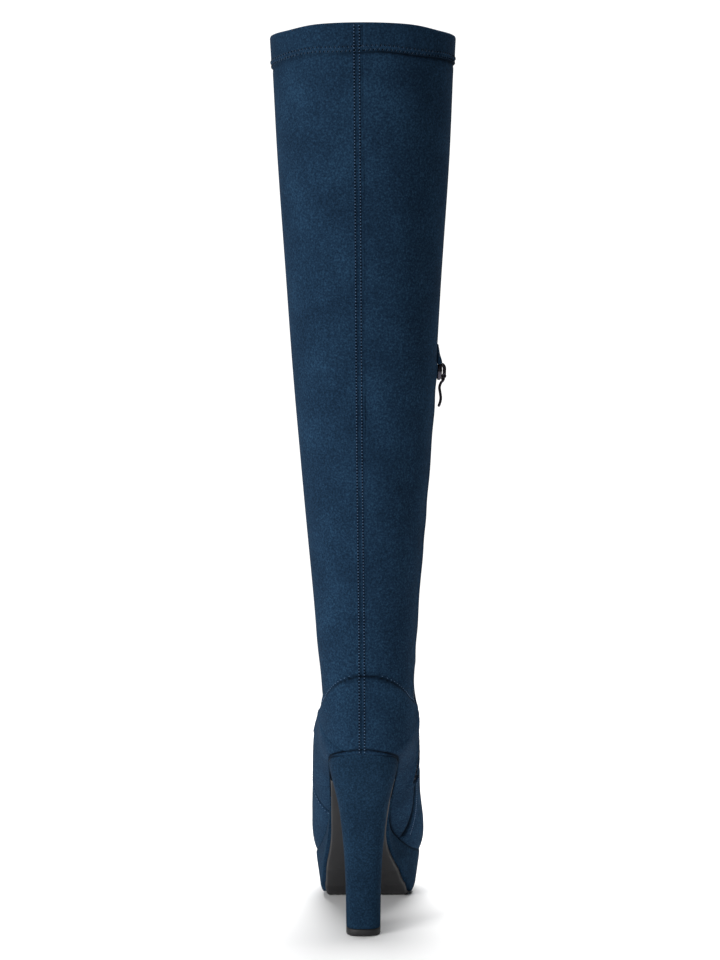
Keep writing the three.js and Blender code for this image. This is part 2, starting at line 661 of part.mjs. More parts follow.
// Slider: a body on the chain with two lugs that hold the pin of the pull tab
const sliderMiddle = ZIP_TOP - SLIDER_LENGTH / 2 - GAP;
const sliderSection = shaftSection(sliderMiddle, 0);
const sliderRun = shaftSection(ZIP_TOP, 0).medial - shaftSection(ankleLevel, 0).medial;
const sliderLean = Math.atan(sliderRun / (ZIP_TOP - ankleLevel));
const slider = new THREE.Group();
const sliderLift = panelStep + GAP * 2;
slider.position.set(sliderSection.medial + sliderLift, zipAt(sliderMiddle)[0], sliderMiddle);
slider.rotation.y = sliderLean;

const eyeInner = PIN_RADIUS + PIN_CLEARANCE;
const eyeOuter = eyeInner + EYE_WALL;
const pinX = SLIDER_THICKNESS + eyeOuter + GAP;
const pinZ = -SLIDER_LENGTH / 2 + eyeOuter + LUG_WIDTH;

function box(width, depth, height, x, y, z) {
  const geometry = new THREE.BoxGeometry(width, depth, height);
  geometry.translate(x, y, z);
  return solidOf(geometry);
}

function sliderSolid() {
  const half = SLIDER_WIDTH / 2;
  const top = SLIDER_LENGTH / 2;
  const foot = half * SLIDER_FOOT_SHARE;
  const shoulder = top * SLIDER_SHOULDER_SHARE;
  const head = half * SLIDER_HEAD_SHARE;
  const right = [[foot, -top], [half, shoulder], [head, top]];
  const left = right.map(([y, z]) => [-y, z]).reverse();
  const outline = [...right, ...left];
  let body = sideBlock(outline, 0, SLIDER_THICKNESS);
  const lugY = TAB_WIDTH / 2 + PIN_CLEARANCE + LUG_WIDTH / 2;
  const lugHeight = (eyeOuter + PIN_RADIUS) * LUG_HEIGHT_SHARE;
  const lugReach = pinX + PIN_RADIUS * LUG_EDGE_SHARE;
  for (const side of [-1, 1]) {
    body = body.add(box(lugReach, LUG_WIDTH, lugHeight, lugReach / 2, side * lugY, pinZ));
  }
  const pin = new THREE.CylinderGeometry(PIN_RADIUS, PIN_RADIUS, (lugY + LUG_WIDTH / 4) * 2, 12);
  pin.translate(pinX, 0, pinZ);
  return body.add(solidOf(pin));
}

// Garage: the folded cloth over the top end of the zip, a wedge that thins upwards. Its outer line
// goes up by the first share of its length and out by the second share of its thickness.
const GARAGE_OUTLINE = [[0.12, 1], [0.6, 0.55], [1, 0.12]];
function garageSolid() {
  const low = SLIDER_LENGTH / 2 + GAP * 2;
  const high = low + GARAGE_LENGTH;
  const inner = GAP - sliderLift;
  const outer = inner + GARAGE_THICKNESS;
  const shape = new THREE.Shape();
  shape.moveTo(inner, low);
  shape.lineTo(outer - GAP, low);
  for (const [up, out] of GARAGE_OUTLINE) shape.lineTo(lerp(inner, outer, out), lerp(low, high, up));
  shape.lineTo(inner, high);
  const geometry = new THREE.ExtrudeGeometry(shape, { depth: GARAGE_WIDTH, bevelEnabled: false });
  geometry.rotateX(Math.PI / 2);
  geometry.translate(0, GARAGE_WIDTH / 2, 0);
  return solidOf(geometry);
}

// Pull tab: an eye on the pin and a flat tab that hangs from it
function pullTabSolid() {
  const shape = new THREE.Shape();
  const half = TAB_THICKNESS / 2;
  const turn = Math.asin(half / eyeOuter);
  shape.absarc(0, 0, eyeOuter, -Math.PI / 2 + turn, (3 * Math.PI) / 2 - turn, false);
  shape.lineTo(-half, -TAB_LENGTH + half);
  shape.absarc(0, -TAB_LENGTH + half, half, Math.PI, 2 * Math.PI, false);
  const hole = new THREE.Path();
  hole.absarc(0, 0, eyeInner, 0, 2 * Math.PI, true);
  shape.holes.push(hole);
  const settings = { depth: TAB_WIDTH, bevelEnabled: false, curveSegments: 10 };
  const geometry = new THREE.ExtrudeGeometry(shape, settings);
  geometry.rotateX(Math.PI / 2);
  geometry.translate(0, TAB_WIDTH / 2, 0);
  return solidOf(geometry);
}

// Materials
const suede = new THREE.MeshStandardMaterial({ color: 0x14304a, roughness: 0.95, metalness: 0 });
const lining = new THREE.MeshStandardMaterial({ color: 0x1a1c20, roughness: 0.9, metalness: 0 });
const rubber = new THREE.MeshStandardMaterial({ color: 0x17181a, roughness: 0.75, metalness: 0 });
const teeth = new THREE.MeshStandardMaterial({ color: 0x10263c, roughness: 0.6, metalness: 0 });
const gunmetal = new THREE.MeshStandardMaterial({ color: 0x3a3d42, roughness: 0.35, metalness: 1 });

function meshOf(body) {
  const { vertProperties, triVerts } = body.getMesh();
  const geometry = new THREE.BufferGeometry();
  geometry.setAttribute('position', new THREE.BufferAttribute(vertProperties, 3));
  geometry.setIndex(new THREE.BufferAttribute(triVerts, 1));
  return geometry;
}

const group = new THREE.Group();
function addPiece(name, body, material, parent = group) {
  const mesh = new THREE.Mesh(meshOf(body), material);
  mesh.name = name;
  parent.add(mesh);
  return mesh;
}

addPiece('upper', upperSolid, suede);
addPiece('quarter_panel', quarterSolid, suede);
addPiece('vamp_panel', vampSolid, suede);
addPiece('insole', insoleSolid, lining);
addPiece('platform', platformSolid, suede);
addPiece('outsole', outsoleSolid, rubber);
addPiece('heel', heelSolid, suede);
addPiece('heel_tip', heelTipSolid, rubber);
addPiece('zip_chain', chainSolid, teeth);
group.add(slider);
addPiece('zip_garage', garageSolid(), suede, slider);
addPiece('zip_slider', sliderSolid(), gunmetal, slider);

// The tab hangs upright from the pin, whatever the slider's lean
const hang = new THREE.Group();
hang.position.set(pinX, 0, pinZ);
hang.rotation.y = -sliderLean;
slider.add(hang);
addPiece('zip_pull_tab', pullTabSolid(), gunmetal, hang);

export default group;
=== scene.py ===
import math
import bmesh
import bpy
import numpy as np
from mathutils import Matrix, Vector
from mathutils.bvhtree import BVHTree


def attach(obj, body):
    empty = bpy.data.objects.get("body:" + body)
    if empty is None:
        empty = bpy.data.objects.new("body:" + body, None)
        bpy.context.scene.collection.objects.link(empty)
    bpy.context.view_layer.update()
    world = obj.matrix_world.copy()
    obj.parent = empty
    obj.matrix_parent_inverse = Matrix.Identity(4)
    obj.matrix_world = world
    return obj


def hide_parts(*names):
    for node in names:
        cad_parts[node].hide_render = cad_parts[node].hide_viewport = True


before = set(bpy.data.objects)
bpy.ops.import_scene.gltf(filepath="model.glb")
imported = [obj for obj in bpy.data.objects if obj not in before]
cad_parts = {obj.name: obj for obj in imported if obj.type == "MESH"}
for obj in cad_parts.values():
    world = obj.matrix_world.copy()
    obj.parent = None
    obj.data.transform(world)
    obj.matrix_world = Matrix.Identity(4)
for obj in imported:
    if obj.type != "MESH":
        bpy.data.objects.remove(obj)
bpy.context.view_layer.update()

# Sizes in millimetres, in the boot's own frame: X to the inner side, Y to the toe, Z up
MM = 0.001
TOTAL_HEIGHT = 700.0
FOOT_LENGTH = 228.0
HEEL_HEIGHT = 146.0
PLATFORM_HEIGHT = 36.0
TOE_SPRING = 6.0
HEEL_BACK = -28.0
ANKLE_RISE = 94.0
SEAT_WIDTH = 54.0
SOLE_WIDTH = 86.0
BALL_WIDTH = 91.0
ANKLE_WIDTH = 79.8
ANKLE_DEPTH = 88.0
COLLAR_WIDTH = 143.0
COLLAR_DEPTH = 138.0
BACK_LEAN = 42.0
WALL = 2.0
PANEL = 1.0
GAP = 0.3
HEM_HEIGHT = 19.0
HEM_STEP = 0.8
OUTSOLE = 2.6
PLATFORM_INSET = 6.5
TIP_HEIGHT = 5.5
TIP_WIDTH = 27.0
TIP_DEPTH = 27.0
ZIP_TOP = 448.0
TOE_TIP = HEEL_BACK + FOOT_LENGTH
ANKLE_LEVEL = HEEL_HEIGHT + ANKLE_RISE
ANKLE_BACK = HEEL_BACK + 8.0
ANKLE_FRONT = ANKLE_BACK + ANKLE_DEPTH
PANEL_STEP = GAP + PANEL


def column(values, t):
    """Smooth value of a list at row number t: a cubic between two neighbours, whose slope at each of them is
    half the difference of the values on its two sides."""
    values = np.asarray(values, float)
    last = len(values) - 1
    i = np.clip(np.floor(t).astype(int), 0, last - 1)
    u = t - i
    a, b, c, d = (values[np.clip(i + k, 0, last)] for k in (-1, 0, 1, 2))
    slope_b, slope_c = (c - a) / 2, (d - b) / 2
    return (b * (2 * u**3 - 3 * u**2 + 1) + slope_b * (u**3 - 2 * u**2 + u)
            + c * (3 * u**2 - 2 * u**3) + slope_c * (u**3 - u**2))


def look_up(keys, values, x):
    """Smooth value of a list against rising keys: the row number grows evenly from key to key."""
    keys = np.asarray(keys, float)
    i = np.searchsorted(keys[1:-1], x, side="left")
    u = np.clip((x - keys[i]) / (keys[i + 1] - keys[i]), 0.0, 1.0)
    return column(values, i + u)


def lerp(a, b, t):
    """From a to b by the share t."""
    return a + (b - a) * t


def along(y):
    """Share of the foot's length that lies behind y."""
    return (y - HEEL_BACK) / FOOT_LENGTH


def length_at(share):
    """Y at a share of the foot's length."""
    return HEEL_BACK + share * FOOT_LENGTH


# Feather line, where the upper meets the sole
FEATHER_AT = [0.0, 0.1, 0.22, 0.32, 0.42, 0.52, 0.62, 0.72, 0.85, 1.0]
FEATHER_DROP = [1.0, 0.92, 0.76, 0.555, 0.365, 0.205, 0.07, 0.008, 0.0, 0.0]
FEATHER_SPRING = [0, 0, 0, 0, 0, 0, 0, 0.02, 0.22, 1.0]


def feather(y):
    """Height of the feather line at y: platform, plus its share of the heel's rise and of the toe spring."""
    share = along(y)
    rise = (HEEL_HEIGHT - PLATFORM_HEIGHT) * look_up(FEATHER_AT, FEATHER_DROP, share)
    return PLATFORM_HEIGHT + rise + TOE_SPRING * look_up(FEATHER_AT, FEATHER_SPRING, share)


FEATHER_Y = np.linspace(HEEL_BACK, TOE_TIP, 200)
FEATHER_Z = feather(FEATHER_Y)

# Underside of the sole from the floor contact back to the heel breast
UNDER_BACK = [0, 0.05, 0.12, 0.25, 0.5, 0.75, 1.0]
UNDER_UP = [0, 0.02, 0.085, 0.225, 0.485, 0.745, 1.0]
BREAST_Y = length_at(0.22)
CONTACT_START = length_at(0.685)
CONTACT_END = length_at(0.83)
BREAST_Z = feather(BREAST_Y) - OUTSOLE * 1.35


def underside(y):
    """Height of the sole's underside: up the waist behind the contact, flat on it, a parabola up the toe."""
    waist = np.maximum(CONTACT_START - y, 0) / (CONTACT_START - BREAST_Y)
    toe = np.maximum(y - CONTACT_END, 0) / (TOE_TIP - CONTACT_END)
    return BREAST_Z * look_up(UNDER_BACK, UNDER_UP, waist) + TOE_SPRING * toe**2


# Edges of the sole in plan
SOLE_AT = [0.0, 0.11, 0.22, 0.32, 0.395, 0.474, 0.54, 0.61, 0.671, 0.737, 0.8]
SOLE_BALL = [0, 0, 0, 0, 0.1, 0.3, 0.55, 0.8, 1, 1, 1]
SOLE_LATERAL = [-0.5, -0.5, -0.49, -0.485, -0.47, -0.455, -0.447, -0.449, -0.447, -0.447, -0.43]
SOLE_MEDIAL = [0.5, 0.5, 0.475, 0.4, 0.35, 0.34, 0.39, 0.47, 0.52, 0.55, 0.535]
TOE_START = 0.78
SEAT_SHARE = 0.11
SEAT_ROUNDNESS = 2.7


def sole_side(share, side):
    """Side line of the sole before its ends are rounded: its width times the line's share of it."""
    width = lerp(SEAT_WIDTH, SOLE_WIDTH, look_up(SOLE_AT, SOLE_BALL, share))
    return width * look_up(SOLE_AT, SOLE_LATERAL if side < 0 else SOLE_MEDIAL, share)


TOE_MIDDLE = (sole_side(TOE_START, -1) + sole_side(TOE_START, 1)) / 2


def sole_edge(y, side):
    """Edge of the sole at y; side is -1 for the outer and 1 for the inner edge. The toe is closed by a
    quarter ellipse round its middle, the seat by a superellipse."""
    share = along(y)
    edge = sole_side(np.minimum(share, TOE_START), side)
    toe = np.clip((share - TOE_START) / (1 - TOE_START), 0.0, 1.0)
    seat = np.clip((SEAT_SHARE - share) / SEAT_SHARE, 0.0, 1.0)
    rounded_toe = TOE_MIDDLE + (edge - TOE_MIDDLE) * np.sqrt(1 - toe * toe)
    return np.where(toe > 0, rounded_toe, edge) * (1 - seat**SEAT_ROUNDNESS) ** (1 / SEAT_ROUNDNESS)


def sole_middle(y):
    """Middle line of the sole in plan."""
    return (sole_edge(y, -1) + sole_edge(y, 1)) / 2


# Shaft sections from ankle to collar
SHAFT_AT = [0, 0.2, 0.4, 0.6, 0.8, 1.0]
SHAFT_WIDTH = [1, 1.027, 1.045, 1.036, 1.03, 1]
SHAFT_MIDDLE = [0.029, 0.02, 0.012, 0.004, 0.001, -0.005]
SHAFT_LEAN = [0, 0.24, 0.476, 0.667, 0.833, 1]
SHAFT_ROUNDNESS = 2.08
FOOT_ROUNDNESS = 2.2


def shaft_section(z, grow):
    """Level section of the shaft at z, grown by grow: width and depth go evenly from ankle to collar, with a
    small swell, and the back leans out."""
    level = (z - ANKLE_LEVEL) / (TOTAL_HEIGHT - ANKLE_LEVEL)
    width = lerp(ANKLE_WIDTH, COLLAR_WIDTH, level) * look_up(SHAFT_AT, SHAFT_WIDTH, level)
    depth = lerp(ANKLE_DEPTH, COLLAR_DEPTH, level)
    middle = ANKLE_WIDTH * look_up(SHAFT_AT, SHAFT_MIDDLE, level)
    back = ANKLE_BACK - BACK_LEAN * look_up(SHAFT_AT, SHAFT_LEAN, level)
    return dict(near=(back + depth + grow, z), far=(back - grow, z), lateral=middle - width / 2 - grow,
                medial=middle + width / 2 + grow, ridge=middle, spine=middle, belly=0.5,
                roundness=SHAFT_ROUNDNESS, edges=None)


# Foot sections: back, up, front, rise, ball, lateral, medial, ridge, spine, belly
FOOT = np.array([
    [0.035, 1.0, 0, 0, 0, -0.471, 0.529, 0.029, 0.029, 0.5],
    [0.033, 0.745, 0.015, 0.128, 0, -0.452, 0.512, 0.035, 0.024, 0.5],
    [0.0175, 0.5, 0.038, 0.255, 0, -0.426, 0.503, 0.045, 0.015, 0.5],
    [-0.004, 0.277, 0.061, 0.394, 0, -0.41, 0.5, 0.055, 0.006, 0.5],
    [-0.01, 0.128, 0.08, 0.479, 0, -0.408, 0.511, 0.06, 0.001, 0.5],
    [0, 0, 0.095, 0.564, 0.1, -0.418, 0.52, 0.065, 0, 0.5],
    [0.0175, 0, 0.101, 0.566, 0.15, -0.422, 0.523, 0.068, 0, 0.52],
    [0.053, 0, 0.11, 0.572, 0.25, -0.42, 0.521, 0.07, 0, 0.55],
    [0.105, 0, 0.125, 0.585, 0.4, -0.423, 0.514, 0.075, 0, 0.57],
    [0.167, 0, 0.14, 0.606, 0.55, -0.435, 0.515, 0.08, 0, 0.59],
    [0.228, 0, 0.163, 0.644, 0.7, -0.446, 0.515, 0.085, 0, 0.61],
    [0.289, 0, 0.189, 0.697, 0.8, -0.447, 0.51, 0.088, 0, 0.63],
    [0.351, 0, 0.2235, 0.729, 0.9, -0.445, 0.502, 0.09, 0, 0.65],
    [0.412, 0, 0.265, 0.723, 0.95, -0.446, 0.503, 0.09, 0, 0.66],
    [0.474, 0, 0.318, 0.713, 1, -0.449, 0.51, 0.088, 0, 0.68],
    [0.539, 0, 0.3826, 0.702, 1, -0.452, 0.526, 0.084, 0, 0.7],
    [0.61, 0, 0.462, 0.686, 1, -0.455, 0.543, 0.08, 0, 0.72],
    [0.684, 0, 0.561, 0.633, 1, -0.45, 0.547, 0.072, 0, 0.73],
    [0.759, 0, 0.663, 0.543, 1, -0.437, 0.536, 0.064, 0, 0.74],
    [0.829, 0, 0.758, 0.45, 1, -0.392, 0.491, 0.056, 0, 0.74],
    [0.89, 0, 0.841, 0.35, 1, -0.34, 0.44, 0.05, 0, 0.74],
    [0.9386, 0, 0.909, 0.245, 1, -0.257, 0.356, 0.05, 0, 0.74],
    [0.972, 0, 0.96, 0.145, 1, -0.156, 0.255, 0.05, 0, 0.74],
    [0.987, 0, 0.982, 0.08, 1, -0.08, 0.18, 0.05, 0, 0.74],
])
HEEL_ROW = 5


def foot_section(t):
    """Section of the foot at row number t of the table, from the instep to the back or the sole."""
    back, up, front, rise, ball, lat, med, ridge, spine, belly = (column(FOOT[:, k], t) for k in range(10))
    far_y = length_at(back)
    on_sole = t >= HEEL_ROW
    far_z = feather(far_y) if on_sole else HEEL_HEIGHT + ANKLE_RISE * up
    width = lerp(ANKLE_WIDTH, BALL_WIDTH, ball)
    lateral, medial = width * lat, width * med
    edges = None
    if t > HEEL_ROW:
        edges = (sole_edge(far_y, -1) + PANEL_STEP, sole_edge(far_y, 1) - PANEL_STEP)
        lateral, medial = min(lateral, edges[0] - GAP), max(medial, edges[1] + GAP)
    roundness = lerp(SHAFT_ROUNDNESS, FOOT_ROUNDNESS, min(max(t / HEEL_ROW, 0.0), 1.0))
    return dict(near=(lerp(ANKLE_FRONT, TOE_TIP, front), far_z + ANKLE_RISE * rise), far=(far_y, far_z),
                lateral=lateral, medial=medial, ridge=width * ridge,
                spine=(edges[0] + edges[1]) / 2 if edges else width * spine, belly=belly,
                roundness=roundness, edges=edges)


QUARTER = 56


def half_section(s, side):
    """Half a section from the instep to the sole: two superellipse quarters, then a margin turned in."""
    wide = s["lateral"] if side < 0 else s["medial"]
    power = 2 / s["roundness"]
    angle = np.pi / 2 * (1 - np.arange(1, QUARTER + 1) / QUARTER)
    x1 = s["ridge"] + (wide - s["ridge"]) * np.clip(np.cos(angle), 0, 1) ** power
    p1 = s["belly"] * (1 - np.sin(angle) ** power)
    edge = s["spine"] if s["edges"] is None else s["edges"][0 if side < 0 else 1]
    end = math.acos(min(max((edge - s["spine"]) / (wide - s["spine"]), 0.0), 1.0) ** (1 / power))
    reach = (1 - s["belly"]) / math.sin(end) ** power
    left_over = 1 - np.arange(1, QUARTER + 1) / QUARTER
    angle = end * (1 - 0.25 * left_over - 0.75 * left_over**2)
    x2 = s["spine"] + (wide - s["spine"]) * np.clip(np.cos(angle), 0, 1) ** power
    p2 = s["belly"] + reach * np.sin(angle) ** power
    x2[-1] = edge
    x, p = np.concatenate([x1, x2]), np.concatenate([p1, p2])
    y = s["near"][0] + (s["far"][0] - s["near"][0]) * p
    z = s["near"][1] + (s["far"][1] - s["near"][1]) * p
    return np.stack([x, y, z], 1)


def ring_of(s):
    """A whole section as one ring: ridge, inner half, spine, outer half."""
    right, left = half_section(s, 1), half_section(s, -1)[::-1]
    top = np.array([[s["ridge"], s["near"][0], s["near"][1]]])
    bottom = np.array([[s["spine"], s["far"][0], s["far"][1]]])
    return np.concatenate([top, right, bottom, left])


def grid_normals(grid, closed=True):
    """Outward unit normals of a grid of rings."""
    down = np.gradient(grid, axis=0)
    round_ = np.roll(grid, -1, 1) - np.roll(grid, 1, 1) if closed else np.gradient(grid, axis=1)
    n = np.cross(down, round_)
    length = np.linalg.norm(n, axis=2, keepdims=True)
    return n / np.maximum(length, 1e-9)


def smooth_step(low, high, x):
    """0 below low, 1 above high, and between them 3 u squared less 2 u cubed."""
    u = np.clip((x - low) / (high - low), 0, 1)
    return u * u * (3 - 2 * u)


def line_distance(y, z, line):
    """Distance of points in side view to a line of straight pieces."""
    best = np.full(y.shape, 1e9)
    for (y0, z0), (y1, z1) in zip(line[:-1], line[1:]):
        dy, dz = y1 - y0, z1 - z0
        t = np.clip(((y - y0) * dy + (z - z0) * dz) / (dy * dy + dz * dz), 0, 1)
        best = np.minimum(best, np.hypot(y - y0 - t * dy, z - z0 - t * dz))
    return best


def height_on(line, y):
    """Height of a side view line at y, held level beyond its ends."""
    ys, zs = np.array(line).T
    return np.interp(y, ys, zs)


def curve_through(line, steps=12):
    """A smooth line through the points of a rough one."""
    pts = np.array(line, float)
    t = np.linspace(0, len(pts) - 1, (len(pts) - 1) * steps + 1)
    return list(zip(column(pts[:, 0], t), column(pts[:, 1], t)))


def side_point(p):
    """Y and Z of a pair of shares: of the foot's length, and of the ankle's rise over the heel."""
    return (length_at(p[0]), HEEL_HEIGHT + p[1] * ANKLE_RISE)


# Seams in side view, from the shares used on the foot
TOP_SEAM = curve_through([side_point(p) for p in (
    (0.0, 0.70), (0.013, 0.69), (0.022, 0.645), (0.042, 0.59), (0.066, 0.535), (0.09, 0.48), (0.13, 0.405),
    (0.21, 0.33))])
TOP_SEAM_OUT = curve_through([side_point(p) for p in (
    (0.0, 0.70), (0.013, 0.69), (0.022, 0.645), (0.042, 0.59), (0.066, 0.535), (0.09, 0.48), (0.13, 0.405),
    (0.21, 0.33), (0.32, 0.2), (0.42, 0.0), (0.475, -0.16))])
LATERAL_SEAM = curve_through([side_point(p) for p in (
    (0.38, -0.68), (0.4, -0.52), (0.425, -0.38), (0.45, -0.29), (0.5, -0.2), (0.56, -0.16), (0.615, -0.14))])
ZIP_FOOT = [side_point(p) for p in (
    (0.232, 0.6), (0.236, 0.36), (0.268, 0.04), (0.305, -0.17), (0.345, -0.35))]
VAMP_TOP = [side_point(p) for p in ((0.345, -0.35), (0.42, -0.3), (0.52, -0.2), (0.615, -0.14))]
MEDIAL_SEAM = curve_through([side_point(p) for p in ((0.345, -0.35), (0.44, -0.62), (0.545, -0.95))])


def zip_at(z):
    """The zip's place in side view on the shaft: half way from front to back."""
    s = shaft_section(z, 0)
    return ((s["near"][0] + s["far"][0]) / 2, z)


zip_middle_level = lerp(ANKLE_LEVEL, ZIP_TOP, 0.5)
ZIP_LINE = curve_through([zip_at(ZIP_TOP), zip_at(zip_middle_level), zip_at(ANKLE_LEVEL), *ZIP_FOOT])


# The whole upper as one grid of rings, from the collar down to the toe
hem_level = TOTAL_HEIGHT - HEM_HEIGHT
BACK_ROWS = 2.0
shaft_levels = np.concatenate([np.linspace(TOTAL_HEIGHT - 1.2, hem_level - 6, 26),
                               np.linspace(hem_level - 6, ANKLE_LEVEL, 134)[1:]])
foot_steps = np.linspace(0, len(FOOT) - 1, 250)[1:]
rings = [ring_of(shaft_section(z, 0)) for z in shaft_levels] + [ring_of(foot_section(t)) for t in foot_steps]
upper_grid = np.array(rings)
upper_normals = grid_normals(upper_grid)
if (upper_normals[30, :, 0] * (upper_grid[30, :, 0] - upper_grid[30, :, 0].mean())).sum() < 0:
    upper_normals = -upper_normals
# Soft dents and swells: x, z, width, height, turn in degrees, depth; back of the shaft
DENTS = [
    (-2, 588, 11, 26, 10, -0.8), (-14, 523, 14, 20, -25, -0.9), (48, 530, 12, 40, 4, -1.6),
    (-40, 600, 16, 30, 8, 0.8), (26, 610, 20, 34, -8, 0.7), (4, 408, 10, 26, 12, -0.9),
    (-36, 470, 15, 40, 6, 0.9), (30, 455, 16, 36, -6, 0.7), (36, 352, 9, 34, 5, -1.3),
    (-30, 390, 12, 18, -30, -0.8), (-26, 330, 14, 30, 10, 0.8), (16, 300, 12, 26, -12, -0.9),
    (38, 278, 8, 22, 8, -1.2), (-22, 262, 16, 12, -24, -0.9), (18, 246, 14, 9, 28, -0.8),
    (-54, 640, 10, 24, 6, -0.9), (52, 640, 10, 22, -8, -0.8), (-34, 236, 8, 16, -30, 0.6),
]
# Soft creases at the front of the ankle, level with the bend: x, z, width, height, turn, depth
FRONT_DENTS = [
    (0, 262, 34, 5, 3, -1.4), (4, 248, 36, 5, -4, 1.1), (0, 234, 34, 5, 5, -1.3), (3, 221, 34, 5, -3, 0.9),
    (-10, 300, 26, 9, 8, -0.8), (12, 330, 28, 12, -8, 0.7),
]


def hem_edge(x, behind):
    """Height of the hem's stitched edge: nearly level, wandering a little, lower on the outer side."""
    return hem_level - 2.7 + 0.016 * x + 0.7 * np.cos((x + 20) / 26.0) * behind + 0.6 * np.sin(x / 9.0)


def bell(x, z, spots):
    """Sum of turned soft bells."""
    total = np.zeros_like(x)
    for cx, cz, w, h, turn, depth in spots:
        a = math.radians(turn)
        u = (x - cx) * math.cos(a) + (z - cz) * math.sin(a)
        v = -(x - cx) * math.sin(a) + (z - cz) * math.cos(a)
        total += depth * np.exp(-(u / w) ** 2 - (v / h) ** 2)
    return total


def back_seam_x(z):
    """The back seam runs down the middle line of the back, a touch to the outer side higher up."""
    return np.interp(z, [149, 234, 381, 539, 700], [-1.1, -1.4, -3.1, -4.1, -5.2])


def upper_relief(grid):
    """How far each point of the upper stands out, and how much shade is painted into its seams, folds and
    gaps.
    """
    x, y, z = grid[..., 0], grid[..., 1], grid[..., 2]
    middle = np.interp(z, [0, 240, 700], [40, 24, 7])
    behind = y < middle
    lift = np.zeros_like(x)
    dark = np.zeros_like(x)
    in_foot = z < 216
    outer = x < 0
    # quarter and vamp stand one panel higher than the shaft
    under_top = np.where(outer, height_on(TOP_SEAM_OUT, y), height_on(TOP_SEAM, y)) - z
    seam_y = np.interp(z, *np.array(LATERAL_SEAM)[:, ::-1].T)
    inner_line = np.array(ZIP_LINE + MEDIAL_SEAM[1:])
    inner_y = np.interp(z, *inner_line[::-1, ::-1].T)
    zip_dist = line_distance(y, z, ZIP_LINE)
    rear_limit = np.where(outer, seam_y, inner_y)
    rear = rear_limit - y
    soft_edge = np.interp(y, [-20, 5], [1.0, 3.2])
    quarter = smooth_step(-1, 1, under_top / soft_edge - 0.2) * smooth_step(0.0, 1.2, rear)
    vamp_top = np.where(outer, VAMP_TOP[-1][1], height_on(VAMP_TOP, y))
    front = smooth_step(0.0, 1.0, -rear) * smooth_step(-0.6, 0.8, vamp_top - z)
    vamp_edge = np.exp(-((z - vamp_top) / 0.9) ** 2) * smooth_step(-1.5, 1.5, -rear) * (z > 100)
    lift += PANEL_STEP * np.maximum(quarter, np.where(in_foot, front, 0))
    # grooves where the panels meet, with shade painted into them
    top_line = np.where(outer, line_distance(y, z, TOP_SEAM_OUT), line_distance(y, z, TOP_SEAM))
    groove_top = np.exp(-(top_line / 1.1) ** 2) * (z > 150) * smooth_step(-1.0, 0.0, rear)
    seams = np.where(outer, line_distance(y, z, LATERAL_SEAM), line_distance(y, z, MEDIAL_SEAM))
    groove_side = np.exp(-(seams / 1.0) ** 2) * (z < 140)
    groove_side = np.maximum(groove_side, vamp_edge)
    lift -= 0.7 * groove_top + 0.6 * groove_side
    dark = np.maximum(dark, np.maximum(groove_top * 0.85, groove_side))
    # the stiffened heel bulges under its top seam and hollows before the zip
    lift += 0.9 * np.exp(-((under_top - 7) / 6) ** 2) * (z > 150) * smooth_step(0, 8, rear)
    hollow = np.exp(-((rear - 6.5) / 3.2) ** 2) * smooth_step(120, 160, z) * smooth_step(214, 198, z)
    ridge = np.exp(-((rear - 14) / 3.6) ** 2) * smooth_step(130, 160, z) * smooth_step(212, 196, z)
    lift += np.where(outer, -0.2, 1.0) * (1.0 * ridge - 1.3 * hollow)
    # soft hollow above the heel's top seam, where the shaft tucks in
    lift -= 0.7 * np.exp(-((under_top + 5) / 3.5) ** 2) * behind * (z > 150)
    # back seam: a groove between two soft ridges, each with a row of stitches
    off = x - back_seam_x(z)
    on_back = behind & (z > 144) & (y < middle - 6)
    from_row = np.abs(off) - BACK_ROWS
    lift += on_back * (0.3 * np.exp(-(from_row / 1.4) ** 2) - 0.35 * np.exp(-(off / 0.7) ** 2))
    # painted shade down the groove and along both rows of needle holes
    back_seam_shade = 0.3 * np.exp(-(off / 0.6) ** 2) + 0.5 * np.exp(-(from_row / 0.55) ** 2)
    dark = np.maximum(dark, on_back * back_seam_shade)
    # hem: a folded band, one step higher, with a fold shadow under its stitched edge
    edge = hem_edge(x, behind)
    lift += HEM_STEP * smooth_step(-0.8, 0.8, z - edge)
    lift += 0.25 * np.exp(-((z - edge - 3.5) / 1.6) ** 2) - 0.25 * np.exp(-((z - edge - 1.6) / 0.7) ** 2)
    lift -= 0.35 * np.exp(-((z - edge + 1.6) / 1.6) ** 2)
    fold_shade = 0.35 + 0.6 * smooth_step(-20, 22, x)
    dark = np.maximum(dark, fold_shade * np.exp(-((z - edge + 0.9) / 1.25) ** 2))
    # the cloth pulls a little over the hem's stitching
    around = np.arctan2(x, middle - y)
    lift += 0.16 * np.sin(around * 46 + np.sin(z / 7)) * np.exp(-((z - edge - 2) / 7) ** 2)
    # zip: the edges of the cloth stand a little over the tape
    chain = (~outer) & (z < ZIP_TOP)
    lift += chain * (1.1 * np.exp(-((zip_dist - 5.2) / 2.2) ** 2) - 0.6 * smooth_step(3.6, 2.6, zip_dist))
    # painted shade in the gap where the cloth's edge meets the tape
    dark = np.maximum(dark, chain * np.exp(-((zip_dist - 2.8) / 0.9) ** 2))
    lift += chain * 0.35 * np.exp(-((zip_dist - 9) / 5) ** 2) * np.sin(z / 6.3 + 0.8 * np.sin(z / 17))
    # shadow line where the cloth tucks under at the sole
    above_sole = z - np.interp(y, FEATHER_Y, FEATHER_Z)
    dark = np.maximum(dark, smooth_step(8, 18, y) * (1 - smooth_step(0.5, 1.7, above_sole)))
